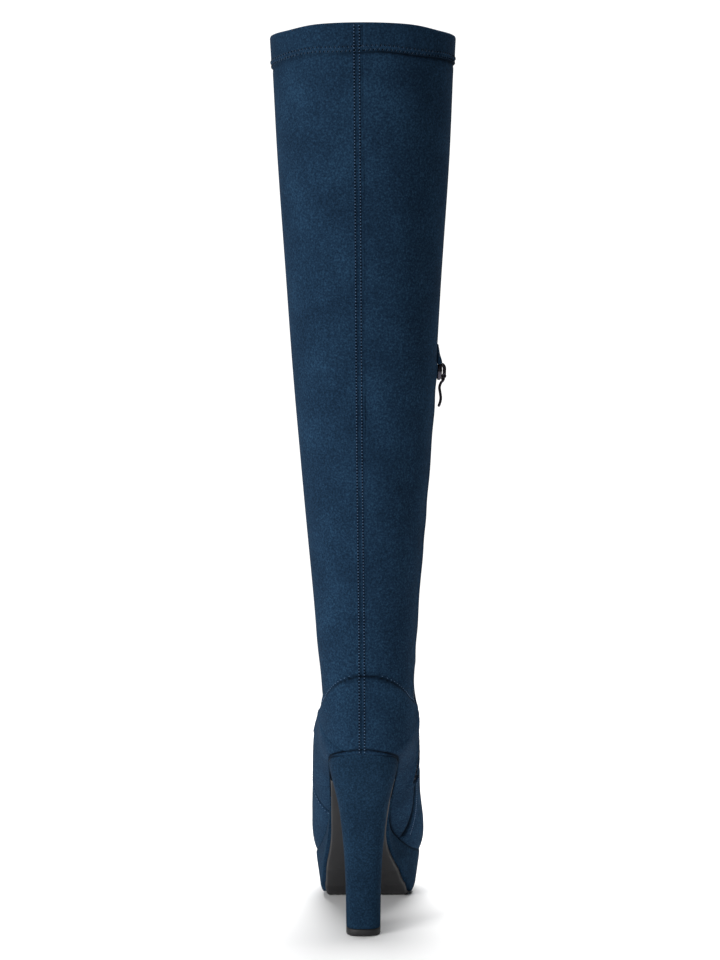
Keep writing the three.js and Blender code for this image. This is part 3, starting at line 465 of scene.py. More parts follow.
    # painted shade line along the top of the heel cover, in a shallow groove where the upper meets it
    heel_top = np.interp(y, FEATHER_Y, FEATHER_Z) + np.where(y < -8, 3.2 * np.exp(-(x / 15.0) ** 2), 0.0)
    heel_line = np.exp(-((z - heel_top - 0.5) / 0.85) ** 2) * smooth_step(18, 8, y)
    dark = np.maximum(dark, heel_line)
    lift -= 0.5 * heel_line
    lift -= 0.45 * smooth_step(8, 18, y) * (1 - smooth_step(0.2, 1.6, above_sole))
    # soft dents of the empty shaft
    lift += np.where(behind, bell(x, z, DENTS), 0) * smooth_step(middle, middle - 14, y)
    lift += np.where(~behind & (z > 200), bell(x, z, FRONT_DENTS), 0) * smooth_step(middle, middle + 20, y)
    return lift, dark


relief, painted_seam_shade = upper_relief(upper_grid)
upper_outer = upper_grid + upper_normals * relief[..., None]
# close the toe: three rings draw the last ring in to a point just over the feather line at the toe tip
last_ring = upper_outer[-1]
toe_point = np.array([sole_middle(TOE_TIP), TOE_TIP - PANEL_STEP, feather(TOE_TIP) + GAP])
closing = [last_ring + (toe_point - last_ring) * k for k in (0.4, 0.75, 0.999)]
# the rim rolls over and the hem comes down inside
inner_rows = [ring_of(shaft_section(z, HEM_STEP * 0.6 + grow)) for z, grow in (
    (hem_level - 1, -WALL - 0.4), (hem_level, -WALL - HEM_STEP), (TOTAL_HEIGHT - 8, -WALL - HEM_STEP * 0.9),
    (TOTAL_HEIGHT - 1.6, -WALL * 0.9), (TOTAL_HEIGHT - 0.5, -WALL * 0.55), (TOTAL_HEIGHT, -0.5))]
rim = ring_of(shaft_section(TOTAL_HEIGHT - 0.3, HEM_STEP * 0.55))
upper_rows = np.array([*inner_rows, rim, *upper_outer, *closing])
# the rim dips a little to both sides of the back
rim_x = upper_rows[..., 0] / (COLLAR_WIDTH / 2)
rim_dip = np.exp(-((np.abs(rim_x) - 0.82) / 0.2) ** 2) * smooth_step(20, -20, upper_rows[..., 1])
upper_rows[..., 2] -= 1.6 * rim_dip * smooth_step(TOTAL_HEIGHT - 26, TOTAL_HEIGHT - 2, upper_rows[..., 2])
painted_shade_rows = np.concatenate([np.zeros((len(inner_rows) + 1, painted_seam_shade.shape[1])), painted_seam_shade,
                            np.zeros((3, painted_seam_shade.shape[1]))])


def mesh_object(name, points, faces, body="boot", smooth=True):
    """A mesh piece from points in millimetres, riding on its body."""
    mesh = bpy.data.meshes.new(name)
    mesh.from_pydata((np.asarray(points, float) * MM).tolist(), [], [tuple(int(i) for i in f) for f in faces])
    mesh.validate()
    mesh.update()
    mesh.polygons.foreach_set("use_smooth", [smooth] * len(mesh.polygons))
    obj = bpy.data.objects.new(name, mesh)
    bpy.context.scene.collection.objects.link(obj)
    if body:
        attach(obj, body)
    return obj


def strip_faces(rows, count, closed=True, flip=False):
    """Quads between neighbouring rows of a grid that is stored row by row."""
    r = np.arange(rows - 1)[:, None] * count
    i = np.arange(count if closed else count - 1)[None, :]
    j = (i + 1) % count
    quads = np.stack([r + i, r + j, r + count + j, r + count + i], -1).reshape(-1, 4)
    return quads[:, ::-1] if flip else quads


def grid_object(name, grid, body="boot", closed=True, flip=False):
    """A mesh piece from a grid of points."""
    rows, count = grid.shape[:2]
    return mesh_object(name, grid.reshape(-1, 3), strip_faces(rows, count, closed, flip), body)


def add_attribute(obj, name, values):
    """Stores one number for each point of a piece."""
    layer = obj.data.attributes.new(name, "FLOAT", "POINT")
    layer.data.foreach_set("value", np.asarray(values, np.float32).ravel())


def outward(obj):
    """Turns the faces of a closed form to the outside."""
    bm = bmesh.new()
    bm.from_mesh(obj.data)
    bmesh.ops.recalc_face_normals(bm, faces=bm.faces)
    bm.to_mesh(obj.data)
    bm.free()


upper = grid_object("upper_microsuede", upper_rows, flip=True)
# the seam attribute carries the painted shade of seams, folds and gaps on the upper
add_attribute(upper, "seam", painted_shade_rows)
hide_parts("upper", "quarter_panel", "vamp_panel")

# Lining: the inside of shaft and foot
lining_levels = list(np.linspace(hem_level + 2, ANKLE_LEVEL, 60))
lining_rings = [ring_of(shaft_section(z, -WALL)) for z in lining_levels]
lining_rings += [ring_of(foot_section(t)) for t in np.linspace(0, len(FOOT) - 1.6, 110)[1:]]
lining_grid = np.array(lining_rings)
lining_normals = grid_normals(lining_grid)
if (lining_normals[20, :, 0] * (lining_grid[20, :, 0] - lining_grid[20, :, 0].mean())).sum() < 0:
    lining_normals = -lining_normals
shrink = np.array([0.0] * len(lining_levels) + [WALL] * (len(lining_rings) - len(lining_levels)))
lining_grid = lining_grid - lining_normals * shrink[:, None, None]
lining = grid_object("shaft_lining", lining_grid)

# Probe for placing stitches and the zip on the cloth
upper_tree = BVHTree.FromPolygons([Vector(p) for p in (upper_rows.reshape(-1, 3)).tolist()],
                                  [tuple(int(i) for i in f) for f in strip_faces(*upper_rows.shape[:2])])


def touch(origin, direction):
    """Where a ray meets the cloth, and the cloth's direction there, towards the ray's start."""
    hit, normal, _, _ = upper_tree.ray_cast(Vector(origin), Vector(direction))
    if hit is None:
        return None
    if normal.dot(Vector(direction)) > 0:
        normal = -normal
    return np.array(hit), np.array(normal)


def on_side(y, z, side):
    """A place on the cloth from side view."""
    return touch((side * 200.0, y, z), (-side, 0, 0))


def on_back(x, z):
    """A place on the cloth as seen from behind."""
    return touch((x, -300.0, z), (0, 1, 0))


def walk(line, pitch):
    """Points at even steps along a line."""
    pts = np.array(line, float)
    seg = np.linalg.norm(np.diff(pts, axis=0), axis=1)
    s = np.concatenate([[0], np.cumsum(seg)])
    at = np.arange(pitch / 2, s[-1], pitch)
    return np.stack([np.interp(at, s, pts[:, k]) for k in range(pts.shape[1])], 1)


BEAD_ALONG = np.array([-0.5, -0.3, 0.0, 0.3, 0.5])
BEAD_ROUND = np.array([0.25, 0.85, 1.0, 0.85, 0.25])
BEAD_SIDES = 6


def stitches(name, places, length, width):
    """Small rounded stitches: six-sided beads drawn out towards the next place, in five rings whose radius
    grows to the middle, and sunk a little into the cloth."""
    p, n = (np.array(part) for part in zip(*places))
    towards = np.concatenate([p[1:] - p[:-1], p[-1:] - p[-2:-1]])
    reach = np.linalg.norm(towards, axis=1)
    near = reach <= 4 * length
    p, n, t = p[near], n[near], towards[near] / np.maximum(reach[near], 1e-9)[:, None]
    b = np.cross(n, t)
    b /= np.maximum(np.linalg.norm(b, axis=1, keepdims=True), 1e-9)
    sunk = width * 0.25 * BEAD_ROUND - 0.08
    centre = (p[:, None] + t[:, None] * (length * BEAD_ALONG)[:, None] + n[:, None] * sunk[:, None])
    a = 2 * np.pi * np.arange(BEAD_SIDES) / BEAD_SIDES
    ring = b[:, None] * np.cos(a)[:, None] + n[:, None] * np.sin(a)[:, None]
    points = centre[:, :, None] + ring[:, None] * (width / 2 * BEAD_ROUND)[:, None, None]
    rings, beads = len(BEAD_ALONG), len(p)
    one = strip_faces(rings, BEAD_SIDES)
    first = np.arange(beads)[:, None, None] * rings * BEAD_SIDES
    sides = (one[None] + first).reshape(-1, 4).tolist()
    start = (np.arange(BEAD_SIDES)[::-1] + first[:, 0]).tolist()
    end = (np.arange(BEAD_SIDES) + (rings - 1) * BEAD_SIDES + first[:, 0]).tolist()
    obj = mesh_object(name, points.reshape(-1, 3), sides + start + end)
    outward(obj)
    return obj


def back_row(offset, start=147.5, pitch=2.35):
    """Places down the back, at an even pitch, beside the back seam."""
    places = []
    for z in np.arange(start, 698.0, pitch):
        hit = on_back(float(back_seam_x(z)) + offset, z)
        if hit is not None:
            places.append(hit)
    return places


def side_row(line, side, offset, pitch=2.3):
    """Places along a seam in side view, moved sideways from it by offset."""
    pts = walk(line, pitch)
    t = np.gradient(pts, axis=0)
    t /= np.maximum(np.linalg.norm(t, axis=1, keepdims=True), 1e-9)
    pts = pts + np.stack([-t[:, 1], t[:, 0]], 1) * offset
    hits = [on_side(y, z, side) for y, z in pts]
    return [h for h in hits if h is not None]


def hem_row(rise, other, turn=0.0):
    """Places round the hem, by turns at two heights over its edge."""
    places = []
    middle = shaft_section(hem_level, 0)
    cy = (middle["near"][0] + middle["far"][0]) / 2
    for a in np.arange(turn, 2 * math.pi + turn, 1.7 / 70):
        d = np.array([math.sin(a), -math.cos(a), 0.0])
        x_guess = d[0] * 70
        behind = d[1] < 0
        z = float(hem_edge(x_guess, behind)) + (rise if len(places) % 2 else other)
        o = np.array([0, cy, z]) + d * 200
        hit = touch(tuple(o), tuple(-d))
        if hit is not None:
            places.append(hit)
    return places


thread_pieces = [
    stitches("back_seam_stitches_outer", back_row(-BACK_ROWS), 1.0, 0.85),
    stitches("back_seam_stitches_inner", back_row(BACK_ROWS), 1.0, 0.85),
    stitches("hem_zigzag_stitches", hem_row(0.8, 3.5), 2.4, 0.42),
    stitches("vamp_stitches_outer", side_row(LATERAL_SEAM, -1, -2.0), 1.4, 0.55),
    stitches("vamp_stitches_inner", side_row(MEDIAL_SEAM, 1, 2.0), 1.4, 0.55),
    stitches("heel_seam_stitches_outer", side_row(TOP_SEAM_OUT[6:], -1, 1.8), 1.2, 0.55),
    stitches("heel_seam_stitches_inner", side_row(TOP_SEAM[6:], 1, 1.8), 1.2, 0.55),
]
# dark beads at the needle holes of the back seam and the hem: painted shade of the holes
needle_hole_shade_pieces = [
    stitches("back_seam_needle_hole_shade_outer", back_row(-BACK_ROWS, 147.5 + 1.18), 1.25, 1.0),
    stitches("back_seam_needle_hole_shade_inner", back_row(BACK_ROWS, 147.5 + 1.18), 1.25, 1.0),
    stitches("hem_needle_hole_shade", hem_row(3.8, 0.5, 0.85 / 70), 1.1, 0.95),
]

# Platform: the covered block, a ring of the sole's outline drawn in towards the floor
OUTLINE = 150


def sole_outline(y_from):
    """The sole's edge in plan from y_from forward, up the inner and down the outer side, with its points
    drawn closer at both ends by a cosine."""
    share = (1 - np.cos(np.pi * np.arange(OUTLINE + 1) / OUTLINE)) / 2
    ys = y_from + share * (TOE_TIP - y_from)
    medial = np.stack([sole_edge(ys, 1), ys], 1)
    lateral = np.stack([sole_edge(ys, -1), ys], 1)[::-1]
    return np.concatenate([medial, lateral[1:]])


def inset_outline(outline, inset):
    """The outline moved inwards, square to itself."""
    d = np.roll(outline, -1, 0) - np.roll(outline, 1, 0)
    n = np.stack([-d[:, 1], d[:, 0]], 1)
    n /= np.maximum(np.linalg.norm(n, axis=1, keepdims=True), 1e-9)
    towards = np.stack([sole_middle(outline[:, 1]) - outline[:, 0], np.zeros(len(outline))], 1)
    if (n * towards).sum() < 0:
        n = -n
    return outline + n * np.asarray(inset)[..., None]


SIDE_AT = [-0.1, 0, 0.06, 0.25, 0.6, 1.0, 4.5]
SIDE_INSET = [1.05, 1, 0.86, 0.56, 0.28, 0, 0]
platform_rear = length_at(0.3)


def lean_in(z):
    """How far the platform's side stands in at height z."""
    return PLATFORM_INSET * look_up(SIDE_AT, SIDE_INSET, z / PLATFORM_HEIGHT)


def wrapped(plan_points, low, high, rows, extra=0.0, turn_in=8.0):
    """A skirt round the sole's outline from a lower to a higher height, with both edges turned in."""
    made = []
    for v in [None, *np.linspace(0, 1, rows), None]:
        top = len(made) > 0 and v is None
        share = 1.0 if top else (v or 0.0)
        z = lerp(low(plan_points[:, 1]), high(plan_points[:, 1]), share)
        edge = 0.55 * (1 - min(1.0, min(share, 1 - share) / 0.06)) if v is not None else turn_in
        made.append(np.column_stack([inset_outline(plan_points, lean_in(z) + extra + edge), z]))
    return np.array(made)


def platform_low(y):
    """Lower edge of the platform's cover: on the outsole, and never above the feather line."""
    y = np.maximum(y, platform_rear)
    return np.minimum(underside(y) + OUTSOLE + GAP, feather(y) - 1.0)


platform_plan = sole_outline(platform_rear + 2)
platform_grid = wrapped(platform_plan, platform_low, lambda y: feather(y) + 0.1, 20, extra=-0.9)
platform = grid_object("platform_cover", platform_grid)
outward(platform)
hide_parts("platform")

# Outsole: a thin sheet under the platform and up the waist to the heel
waist_ys = np.linspace(BREAST_Y + 0.4, 160, 130)
toe_ys = 160 + 40 * np.sin(np.linspace(0.02, 1, 40) * np.pi / 2)
outsole_y = np.minimum(np.concatenate([waist_ys, toe_ys]), TOE_TIP - 0.2)
low = underside(outsole_y)
slope = underside(outsole_y + 0.5) - underside(outsole_y - 0.5)
rise = OUTSOLE * np.sqrt(1 + slope * slope)
blend = smooth_step(platform_rear - 6, platform_rear + 6, outsole_y)
high = lerp(np.minimum(feather(outsole_y), low + rise * 1.6), low + rise, blend)
half = (sole_edge(outsole_y, 1) - sole_edge(outsole_y, -1)) / 2
middle = sole_middle(outsole_y)
# under the platform the sheet stands in from the cover, and at the toe it shortens by as much
under_cover = 1.5 * smooth_step(platform_rear + 8, platform_rear + 40, outsole_y)
toe_share = np.clip((outsole_y - CONTACT_START) / (TOE_TIP - CONTACT_START), 0.0, 1.0) ** 2
side_points = []
for z, pull in ((low, 1.3), (low + 0.25, 0.55), (lerp(low, high, 0.35), 0.1), (high - 0.3, 0.1), (high, 0.9)):
    inward = lean_in(np.maximum(z, 0)) + OUTSOLE / 5 + pull + under_cover
    reach = np.maximum(half - inward * np.sqrt(1 - toe_share), half * 0.02)
    side_points.append((reach, outsole_y - inward * toe_share, z))
columns = [(middle + reach, y, z) for reach, y, z in side_points]
columns.append((middle, side_points[-1][1], high))
columns += [(middle - reach, y, z) for reach, y, z in side_points[::-1]]
columns += [(lerp(columns[-1][0], columns[0][0], k), columns[0][1], low) for k in np.linspace(0, 1, 14)[1:-1]]
outsole_grid = np.transpose(np.array([np.stack(c) for c in columns]), (2, 0, 1))
outsole = grid_object("outsole_sheet", outsole_grid)
outward(outsole)
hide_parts("outsole")

# Heel: covered block, narrow at the tip and flaring to the seat
HEEL_LEVEL = [0, 0.226, 0.378, 0.485, 0.575, 0.665, 0.755, 0.833, 0.911, 1, 1.1]
HEEL_WIDE = [0, 0.03, 0.1, 0.19, 0.29, 0.42, 0.615, 0.82, 0.98, 1, 1]
HEEL_AFT = [0, 0.04, 0.135, 0.24, 0.36, 0.5, 0.67, 0.81, 0.93, 1, 1]
HEEL_FORE = [0, 0.02, 0.1, 0.2, 0.35, 0.55, 0.85, 1, 1, 1, 1]
HEEL_STEPS = 96
heel_base = TIP_HEIGHT + GAP


def bulge(c, power):
    """A cosine or sine drawn out to a rounder or squarer curve: its size to the power, with its own sign."""
    return np.copysign(np.abs(c) ** power, c)


heel_angle = 2 * np.pi * np.arange(HEEL_STEPS) / HEEL_STEPS
# round at the back, nearly square at the breast
heel_power = 2 / np.where(np.sin(heel_angle) < 0, SEAT_ROUNDNESS, 6)


def heel_point(z, inset=0.0):
    """Points round the heel at height z: a superellipse whose width, back and breast follow the height."""
    level = (z - heel_base) / (HEEL_HEIGHT - heel_base)
    half_width = lerp(TIP_WIDTH, SEAT_WIDTH, look_up(HEEL_LEVEL, HEEL_WIDE, level)) / 2 - inset
    back = lerp(-TIP_DEPTH / 2, HEEL_BACK, look_up(HEEL_LEVEL, HEEL_AFT, level)) + inset
    front = lerp(TIP_DEPTH / 2, BREAST_Y, look_up(HEEL_LEVEL, HEEL_FORE, level)) - inset
    return (half_width * bulge(np.cos(heel_angle), heel_power),
            (back + front) / 2 + (front - back) / 2 * bulge(np.sin(heel_angle), heel_power), z)


heel_share = np.array([*np.linspace(0, 0.97, 70), 0.982, 0.992, 1.0, 1.0])[:, None]
heel_z = heel_base + heel_share * (HEEL_HEIGHT - heel_base) + np.zeros(HEEL_STEPS)
# four rounds bring each row's height and place on the sloping seat together
for _ in range(4):
    seat_y = heel_point(heel_z)[1]
    heel_z = heel_base + heel_share * (feather(np.maximum(seat_y, HEEL_BACK)) - 0.25 - heel_base)
heel_edge = 1.3 * smooth_step(0.984, 1.0, heel_share) - 0.25 * np.exp(-((heel_share - 0.972) / 0.014) ** 2)
heel_edge = heel_edge + 0.4 * (heel_share < 0.001)
heel_edge[-1] += 8.0
heel_x, heel_y, heel_z = heel_point(heel_z, heel_edge)
# the cover's top edge arches up a little over the middle of the back
arch_up = 3.2 * np.exp(-(heel_x / 15.0) ** 2) * smooth_step(0.82, 0.985, heel_share) * (heel_y < -8)
heel = grid_object("heel_cover", np.stack([heel_x, heel_y - 0.22 * arch_up, heel_z + arch_up], 2))
# painted shade along the heel cover's top edge, where it turns in under the upper
heel_painted_shade = smooth_step(0.984, 0.99, heel_share) + np.zeros(HEEL_STEPS)
outward(heel)
add_attribute(heel, "seam", heel_painted_shade)
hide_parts("heel")

# Heel tip
tip_table = np.array([(TIP_WIDTH / 2 - 0.5, 0), (0.9, 0.0), (0.35, 0.25), (0, 0.9), (0, 5.1),
                      (0.35, TIP_HEIGHT), (6, TIP_HEIGHT)])
tip_inset, tip_z = tip_table[:, :1], tip_table[:, 1:] + np.zeros(HEEL_STEPS)
tip_x = (TIP_WIDTH / 2 - tip_inset) * bulge(np.cos(heel_angle), heel_power)
tip_y = (TIP_DEPTH / 2 - tip_inset) * bulge(np.sin(heel_angle), heel_power)
heel_tip = grid_object("heel_tip_rubber", np.stack([tip_x, tip_y, tip_z], 2))
outward(heel_tip)
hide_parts("heel_tip")

# Zip: a woven tape with a coil of fine teeth down the middle
TAPE_HALF = 3.4


def places_on_zip(pitch):
    """Places along the zip and the cloth's direction at each, as two arrays."""
    hits = [h for h in (on_side(y, z, 1) for y, z in walk(ZIP_LINE, pitch)) if h is not None]
    return tuple(np.array(part) for part in zip(*hits))


tape_at, tape_out = places_on_zip(1.5)
tape_along = np.concatenate([tape_at[1:], tape_at[-1:]]) - np.concatenate([tape_at[:1], tape_at[:-1]])
tape_along /= np.linalg.norm(tape_along, axis=1, keepdims=True)
tape_side = np.cross(tape_along, tape_out)
tape_u = np.array([-TAPE_HALF, -2.2, -1.2, 0, 1.2, 2.2, TAPE_HALF])[:, None]
tape_crown = 0.30 - 0.25 * (np.abs(tape_u) / TAPE_HALF) ** 2
tape_grid = tape_at[:, None] + tape_side[:, None] * tape_u + tape_out[:, None] * tape_crown
zip_tape = grid_object("zip_tape", tape_grid, closed=False)
outward(zip_tape)

# Teeth: blocks by turns to the left and right of the middle, narrower on top
tooth_at, tooth_out = places_on_zip(1.0)
tooth_step = np.arange(len(tooth_at))
ahead = tape_at[np.minimum(len(tape_at) - 1, (tooth_step / 1.5).astype(int) + 1)] - tooth_at
apart = np.linalg.norm(ahead, axis=1) > 1e-6
tooth_at, tooth_out, tooth_step, ahead = (part[apart] for part in (tooth_at, tooth_out, tooth_step, ahead))
ahead /= np.linalg.norm(ahead, axis=1, keepdims=True)
tooth_side = np.cross(ahead, tooth_out)
reach = np.where(tooth_step % 2, 0.65, -0.65)
corners = np.array([(-1, -0.3, 0.1), (1, -0.3, 0.1), (1, 0.3, 0.1), (-1, 0.3, 0.1),
                    (-0.8, -0.22, 0.85), (0.8, -0.22, 0.85), (0.8, 0.22, 0.85), (-0.8, 0.22, 0.85)])
sideways = reach[:, None] + corners[:, 0] * 1.15
teeth_points = (tooth_at[:, None] + tooth_side[:, None] * sideways[..., None]
                + ahead[:, None] * corners[:, 1:2] + tooth_out[:, None] * corners[:, 2:3]).reshape(-1, 3)
block_faces = np.array([(3, 2, 1, 0), (4, 5, 6, 7), (0, 1, 5, 4), (1, 2, 6, 5), (2, 3, 7, 6), (3, 0, 4, 7)])
teeth_faces = (block_faces + 8 * np.arange(len(tooth_at))[:, None, None]).reshape(-1, 4)
zip_teeth = mesh_object("zip_coil_teeth", teeth_points, teeth_faces, smooth=False)
outward(zip_teeth)
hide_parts("zip_chain")

# Slider: a crowned body on the chain, in its own leaning frame
SLIDER_LENGTH, SLIDER_WIDTH, SLIDER_THICK = 13.0, 8.0, 2.4
PIN_RADIUS, PIN_CLEARANCE, EYE_WALL = 0.7, 0.3, 0.9
EYE_OUTER = PIN_RADIUS + PIN_CLEARANCE + EYE_WALL
slider_middle = ZIP_TOP - SLIDER_LENGTH / 2 - GAP
lean = math.atan((shaft_section(ZIP_TOP, 0)["medial"] - shaft_section(ANKLE_LEVEL, 0)["medial"])
                 / (ZIP_TOP - ANKLE_LEVEL))
slider_x = shaft_section(slider_middle, 0)["medial"] + PANEL_STEP + GAP * 2
slider_at = np.array([slider_x, zip_at(slider_middle)[0], slider_middle])
pin_x = SLIDER_THICK + EYE_OUTER + GAP
pin_z = -SLIDER_LENGTH / 2 + EYE_OUTER + 1.2


def in_slider(p):
    """From the slider's own frame, out, along and up, to the boot's: turned by its lean about the Y axis."""
    x, y, z = np.moveaxis(np.asarray(p, float), -1, 0)
    turned = (x * math.cos(lean) + z * math.sin(lean), y, -x * math.sin(lean) + z * math.cos(lean))
    return slider_at + np.stack(turned, -1)


SLIDER_SUNK = 1.5
SLIDER_RING = 28
slider_v = np.linspace(0, 1, 33)[:, None]
slider_z = lerp(-SLIDER_LENGTH / 2 - 0.4, SLIDER_LENGTH / 2 + 0.2, slider_v)
slider_half = SLIDER_WIDTH / 2 * (0.7 + 0.3 * smooth_step(0.0, 0.6, slider_v)) * (1 - 0.2 * slider_v**6)
slider_cap = np.sin(np.pi * np.clip(slider_v, 0.012, 0.988)) ** 0.3
slider_thick = (SLIDER_THICK + SLIDER_SUNK + 0.6) / 2
slider_angle = 2 * np.pi * np.arange(SLIDER_RING) / SLIDER_RING
slider_out = slider_thick - SLIDER_SUNK + slider_thick * slider_cap * bulge(np.cos(slider_angle), 0.6)
slider_y = slider_half * slider_cap * bulge(np.sin(slider_angle), 0.6)
slider_grid = np.stack([slider_out, slider_y, slider_z + 0 * slider_out], 2)
slider_body = grid_object("zip_slider_body", in_slider(slider_grid))
outward(slider_body)


def rounded_bar(name, path, half_width, thick, body="boot", place=in_slider):
    """A flat bar with round edges along a path in the slider's own side view, out and up. Each ring is a
    superellipse square to the path, and the two rings at each end are drawn in."""
    path = np.array(path, float)
    last = len(path) - 1
    along_path = np.concatenate([path[1:], path[-1:]]) - np.concatenate([path[:1], path[:-1]])
    along_path /= np.linalg.norm(along_path, axis=1, keepdims=True)
    from_end = np.minimum(np.arange(last + 1), last - np.arange(last + 1))
    tight = np.array([0.55, 0.85, 1.0])[np.minimum(from_end, 2)][:, None]
    angle = 2 * np.pi * np.arange(16) / 16
    off = thick / 2 * tight * bulge(np.cos(angle), 0.7)
    y = half_width(np.arange(last + 1) / last)[:, None] * tight * bulge(np.sin(angle), 0.5)
    out = path[:, :1] + along_path[:, 1:] * off
    up = path[:, 1:] - along_path[:, :1] * off
    obj = grid_object(name, place(np.stack([out, y, up], 2)), body)
    outward(obj)
    return obj


# The crown: an arch over the slider's middle that carries the tab's eye
arch = curve_through([(2.2, 5.6), (3.3, 5.1), (4.5, 3.2), (4.75, 0.2), (pin_x + 0.2, pin_z),
                      (4.0, pin_z - 1.9), (2.6, pin_z - 2.6)], 6)
crown = rounded_bar("zip_slider_crown", arch, lambda u: 1.5 + 0 * u, 2.8)
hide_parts("zip_slider")


def below_pin(p):
    """From a frame that hangs plumb on the slider's pin, out, along and up, to the boot's."""
    return in_slider((pin_x, 0, pin_z)) + np.asarray(p, float)


# Pull tab: an eye on the pin and a slim tab in a soft S
eye = [(1.5 * math.cos(a), 1.5 * math.sin(a)) for a in np.linspace(math.radians(-85), math.radians(265), 30)]
tab_eye = rounded_bar("pull_tab_eye", eye, lambda u: 2.1 + 0 * u, 1.0, "pull_tab", below_pin)
sway = curve_through([(0.0, -1.5), (-0.6, -3.4), (-2.4, -5.6), (-3.4, -9.0), (-2.9, -13.0), (-2.4, -17.0),
                      (-2.9, -20.5), (-4.2, -24.2)], 6)
tab_blade = rounded_bar("pull_tab_blade", sway, lambda u: 1.7 + 0.5 * u, 2.2, "pull_tab", below_pin)
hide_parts("zip_pull_tab")

# Garage: the folded cloth over the top end of the zip
garage_v = np.linspace(0, 1, 26)[:, None]
garage_z = lerp(SLIDER_LENGTH / 2 - 0.9, SLIDER_LENGTH / 2 + GAP * 2 + 14, garage_v)
garage_tall = np.interp(garage_v, [0, 0.08, 0.2, 0.6, 1], [3.6, 4.1, 3.7, 1.7, 0.12])
garage_tall = garage_tall * (1 + 0.06 * np.sin(9 * garage_v))
over, under = np.linspace(-1, 1, 21), np.linspace(1, -1, 5)
cloth_x = GAP - (PANEL_STEP + GAP * 2)
over_x = cloth_x + garage_tall * np.maximum(0.0, 1 - np.abs(over) ** 2.6) ** 0.6 - 0.3 * np.abs(over)
garage_x = np.concatenate([over_x, np.full((len(garage_v), len(under)), cloth_x - 0.4)], 1)
garage_y = np.concatenate([5.6 * over, 5.0 * under]) + 0 * garage_x
garage_rows = in_slider(np.stack([garage_x, garage_y, garage_z + 0 * garage_x], 2))
middle_low = garage_rows[0].mean(axis=0)
garage_rows = np.concatenate([(garage_rows[0] * 0.02 + middle_low * 0.98)[None], garage_rows])
zip_garage = grid_object("zip_garage_fold", garage_rows)
outward(zip_garage)
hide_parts("zip_garage")


# Materials
def linear(code):
    """A hex colour as linear red, green, blue and opacity."""
    values = [int(code[k:k + 2], 16) / 255 for k in (0, 2, 4)]
    return tuple(v / 12.92 if v <= 0.04045 else ((v + 0.055) / 1.055) ** 2.4 for v in values) + (1.0,)


def node(tree, kind, links=None, **settings):
    """Adds a node, sets its properties or inputs and links what feeds it."""
    made = tree.nodes.new(kind)
    for key, value in settings.items():
        key = key.replace("_", " ") if key[0].isupper() else key
        if key in made.inputs:
            made.inputs[key].default_value = value
        else:
            setattr(made, key, value)
    for key, source in (links or {}).items():
        tree.links.new(source, made.inputs[key])
    return made


def material(name, rough, metal=0.0, ior=1.45):
    """A plain material with its roughness, metal share and IOR."""
    made = bpy.data.materials.new(name)
    made.use_nodes = True
    tree = made.node_tree
    shader = tree.nodes["Principled BSDF"]
    shader.inputs["Roughness"].default_value = rough
    shader.inputs["Metallic"].default_value = metal
    shader.inputs["IOR"].default_value = ior
    return made, tree, shader


def suede(name, deep, mid, light):
    """Brushed microsuede: short nap that mottles in soft clouds where it has been stroked."""
    made, tree, shader = material(name, 0.92, 0.0, 1.45)
    where = node(tree, "ShaderNodeTexCoord").outputs["Object"]
    # clouds about 3 cm across give the eye the brushed patches
    cloud = node(tree, "ShaderNodeTexNoise", {"Vector": where}, Scale=30.0, Detail=3.0, Roughness=0.5)
    # tufts of about 2 mm give the mottle that is seen from a step away
    tuft = node(tree, "ShaderNodeTexNoise", {"Vector": where}, Scale=680.0, Detail=3.0, Roughness=0.7)
    # single fibres of about 0.3 mm
    fibre = node(tree, "ShaderNodeTexNoise", {"Vector": where}, Scale=2600.0, Detail=2.0, Roughness=0.6)
    soft = node(tree, "ShaderNodeMath", {0: cloud.outputs["Fac"]}, operation="MULTIPLY")
    soft.inputs[1].default_value = 0.24
    fine = node(tree, "ShaderNodeMath", {0: tuft.outputs["Fac"]}, operation="MULTIPLY")
    fine.inputs[1].default_value = 0.76
    half = node(tree, "ShaderNodeMath", {0: soft.outputs[0], 1: fine.outputs[0]}, operation="ADD")
    ramp = node(tree, "ShaderNodeValToRGB", {"Fac": half.outputs[0]})
    ramp.color_ramp.elements[0].position = 0.36
    ramp.color_ramp.elements[0].color = linear(deep)
    ramp.color_ramp.elements[1].position = 0.66
    ramp.color_ramp.elements[1].color = linear(light)
    centre = ramp.color_ramp.elements.new(0.51)
    centre.color = linear(mid)
    # seams and folds hold shade, which the points of the mesh carry
    seam = node(tree, "ShaderNodeAttribute", attribute_name="seam")
    shade = {"Factor": seam.outputs["Fac"], 6: ramp.outputs["Color"]}
    dim = node(tree, "ShaderNodeMix", shade, data_type="RGBA")
    # painted shade darkens the nap towards this colour
    dim.inputs[7].default_value = linear("050b14")
    tree.links.new(dim.outputs[2], shader.inputs["Base Color"])
    heights = node(tree, "ShaderNodeMath", {0: fibre.outputs["Fac"], 1: tuft.outputs["Fac"]}, operation="ADD")
    bump = node(tree, "ShaderNodeBump", {"Height": heights.outputs[0]}, Strength=0.55, Distance=0.0004)
    tree.links.new(bump.outputs["Normal"], shader.inputs["Normal"])
    shader.inputs["Sheen Weight"].default_value = 0.02
    shader.inputs["Sheen Roughness"].default_value = 0.45
    shader.inputs["Sheen Tint"].default_value = linear("9fb4cc")
    shader.inputs["Specular IOR Level"].default_value = 0.03
    return made


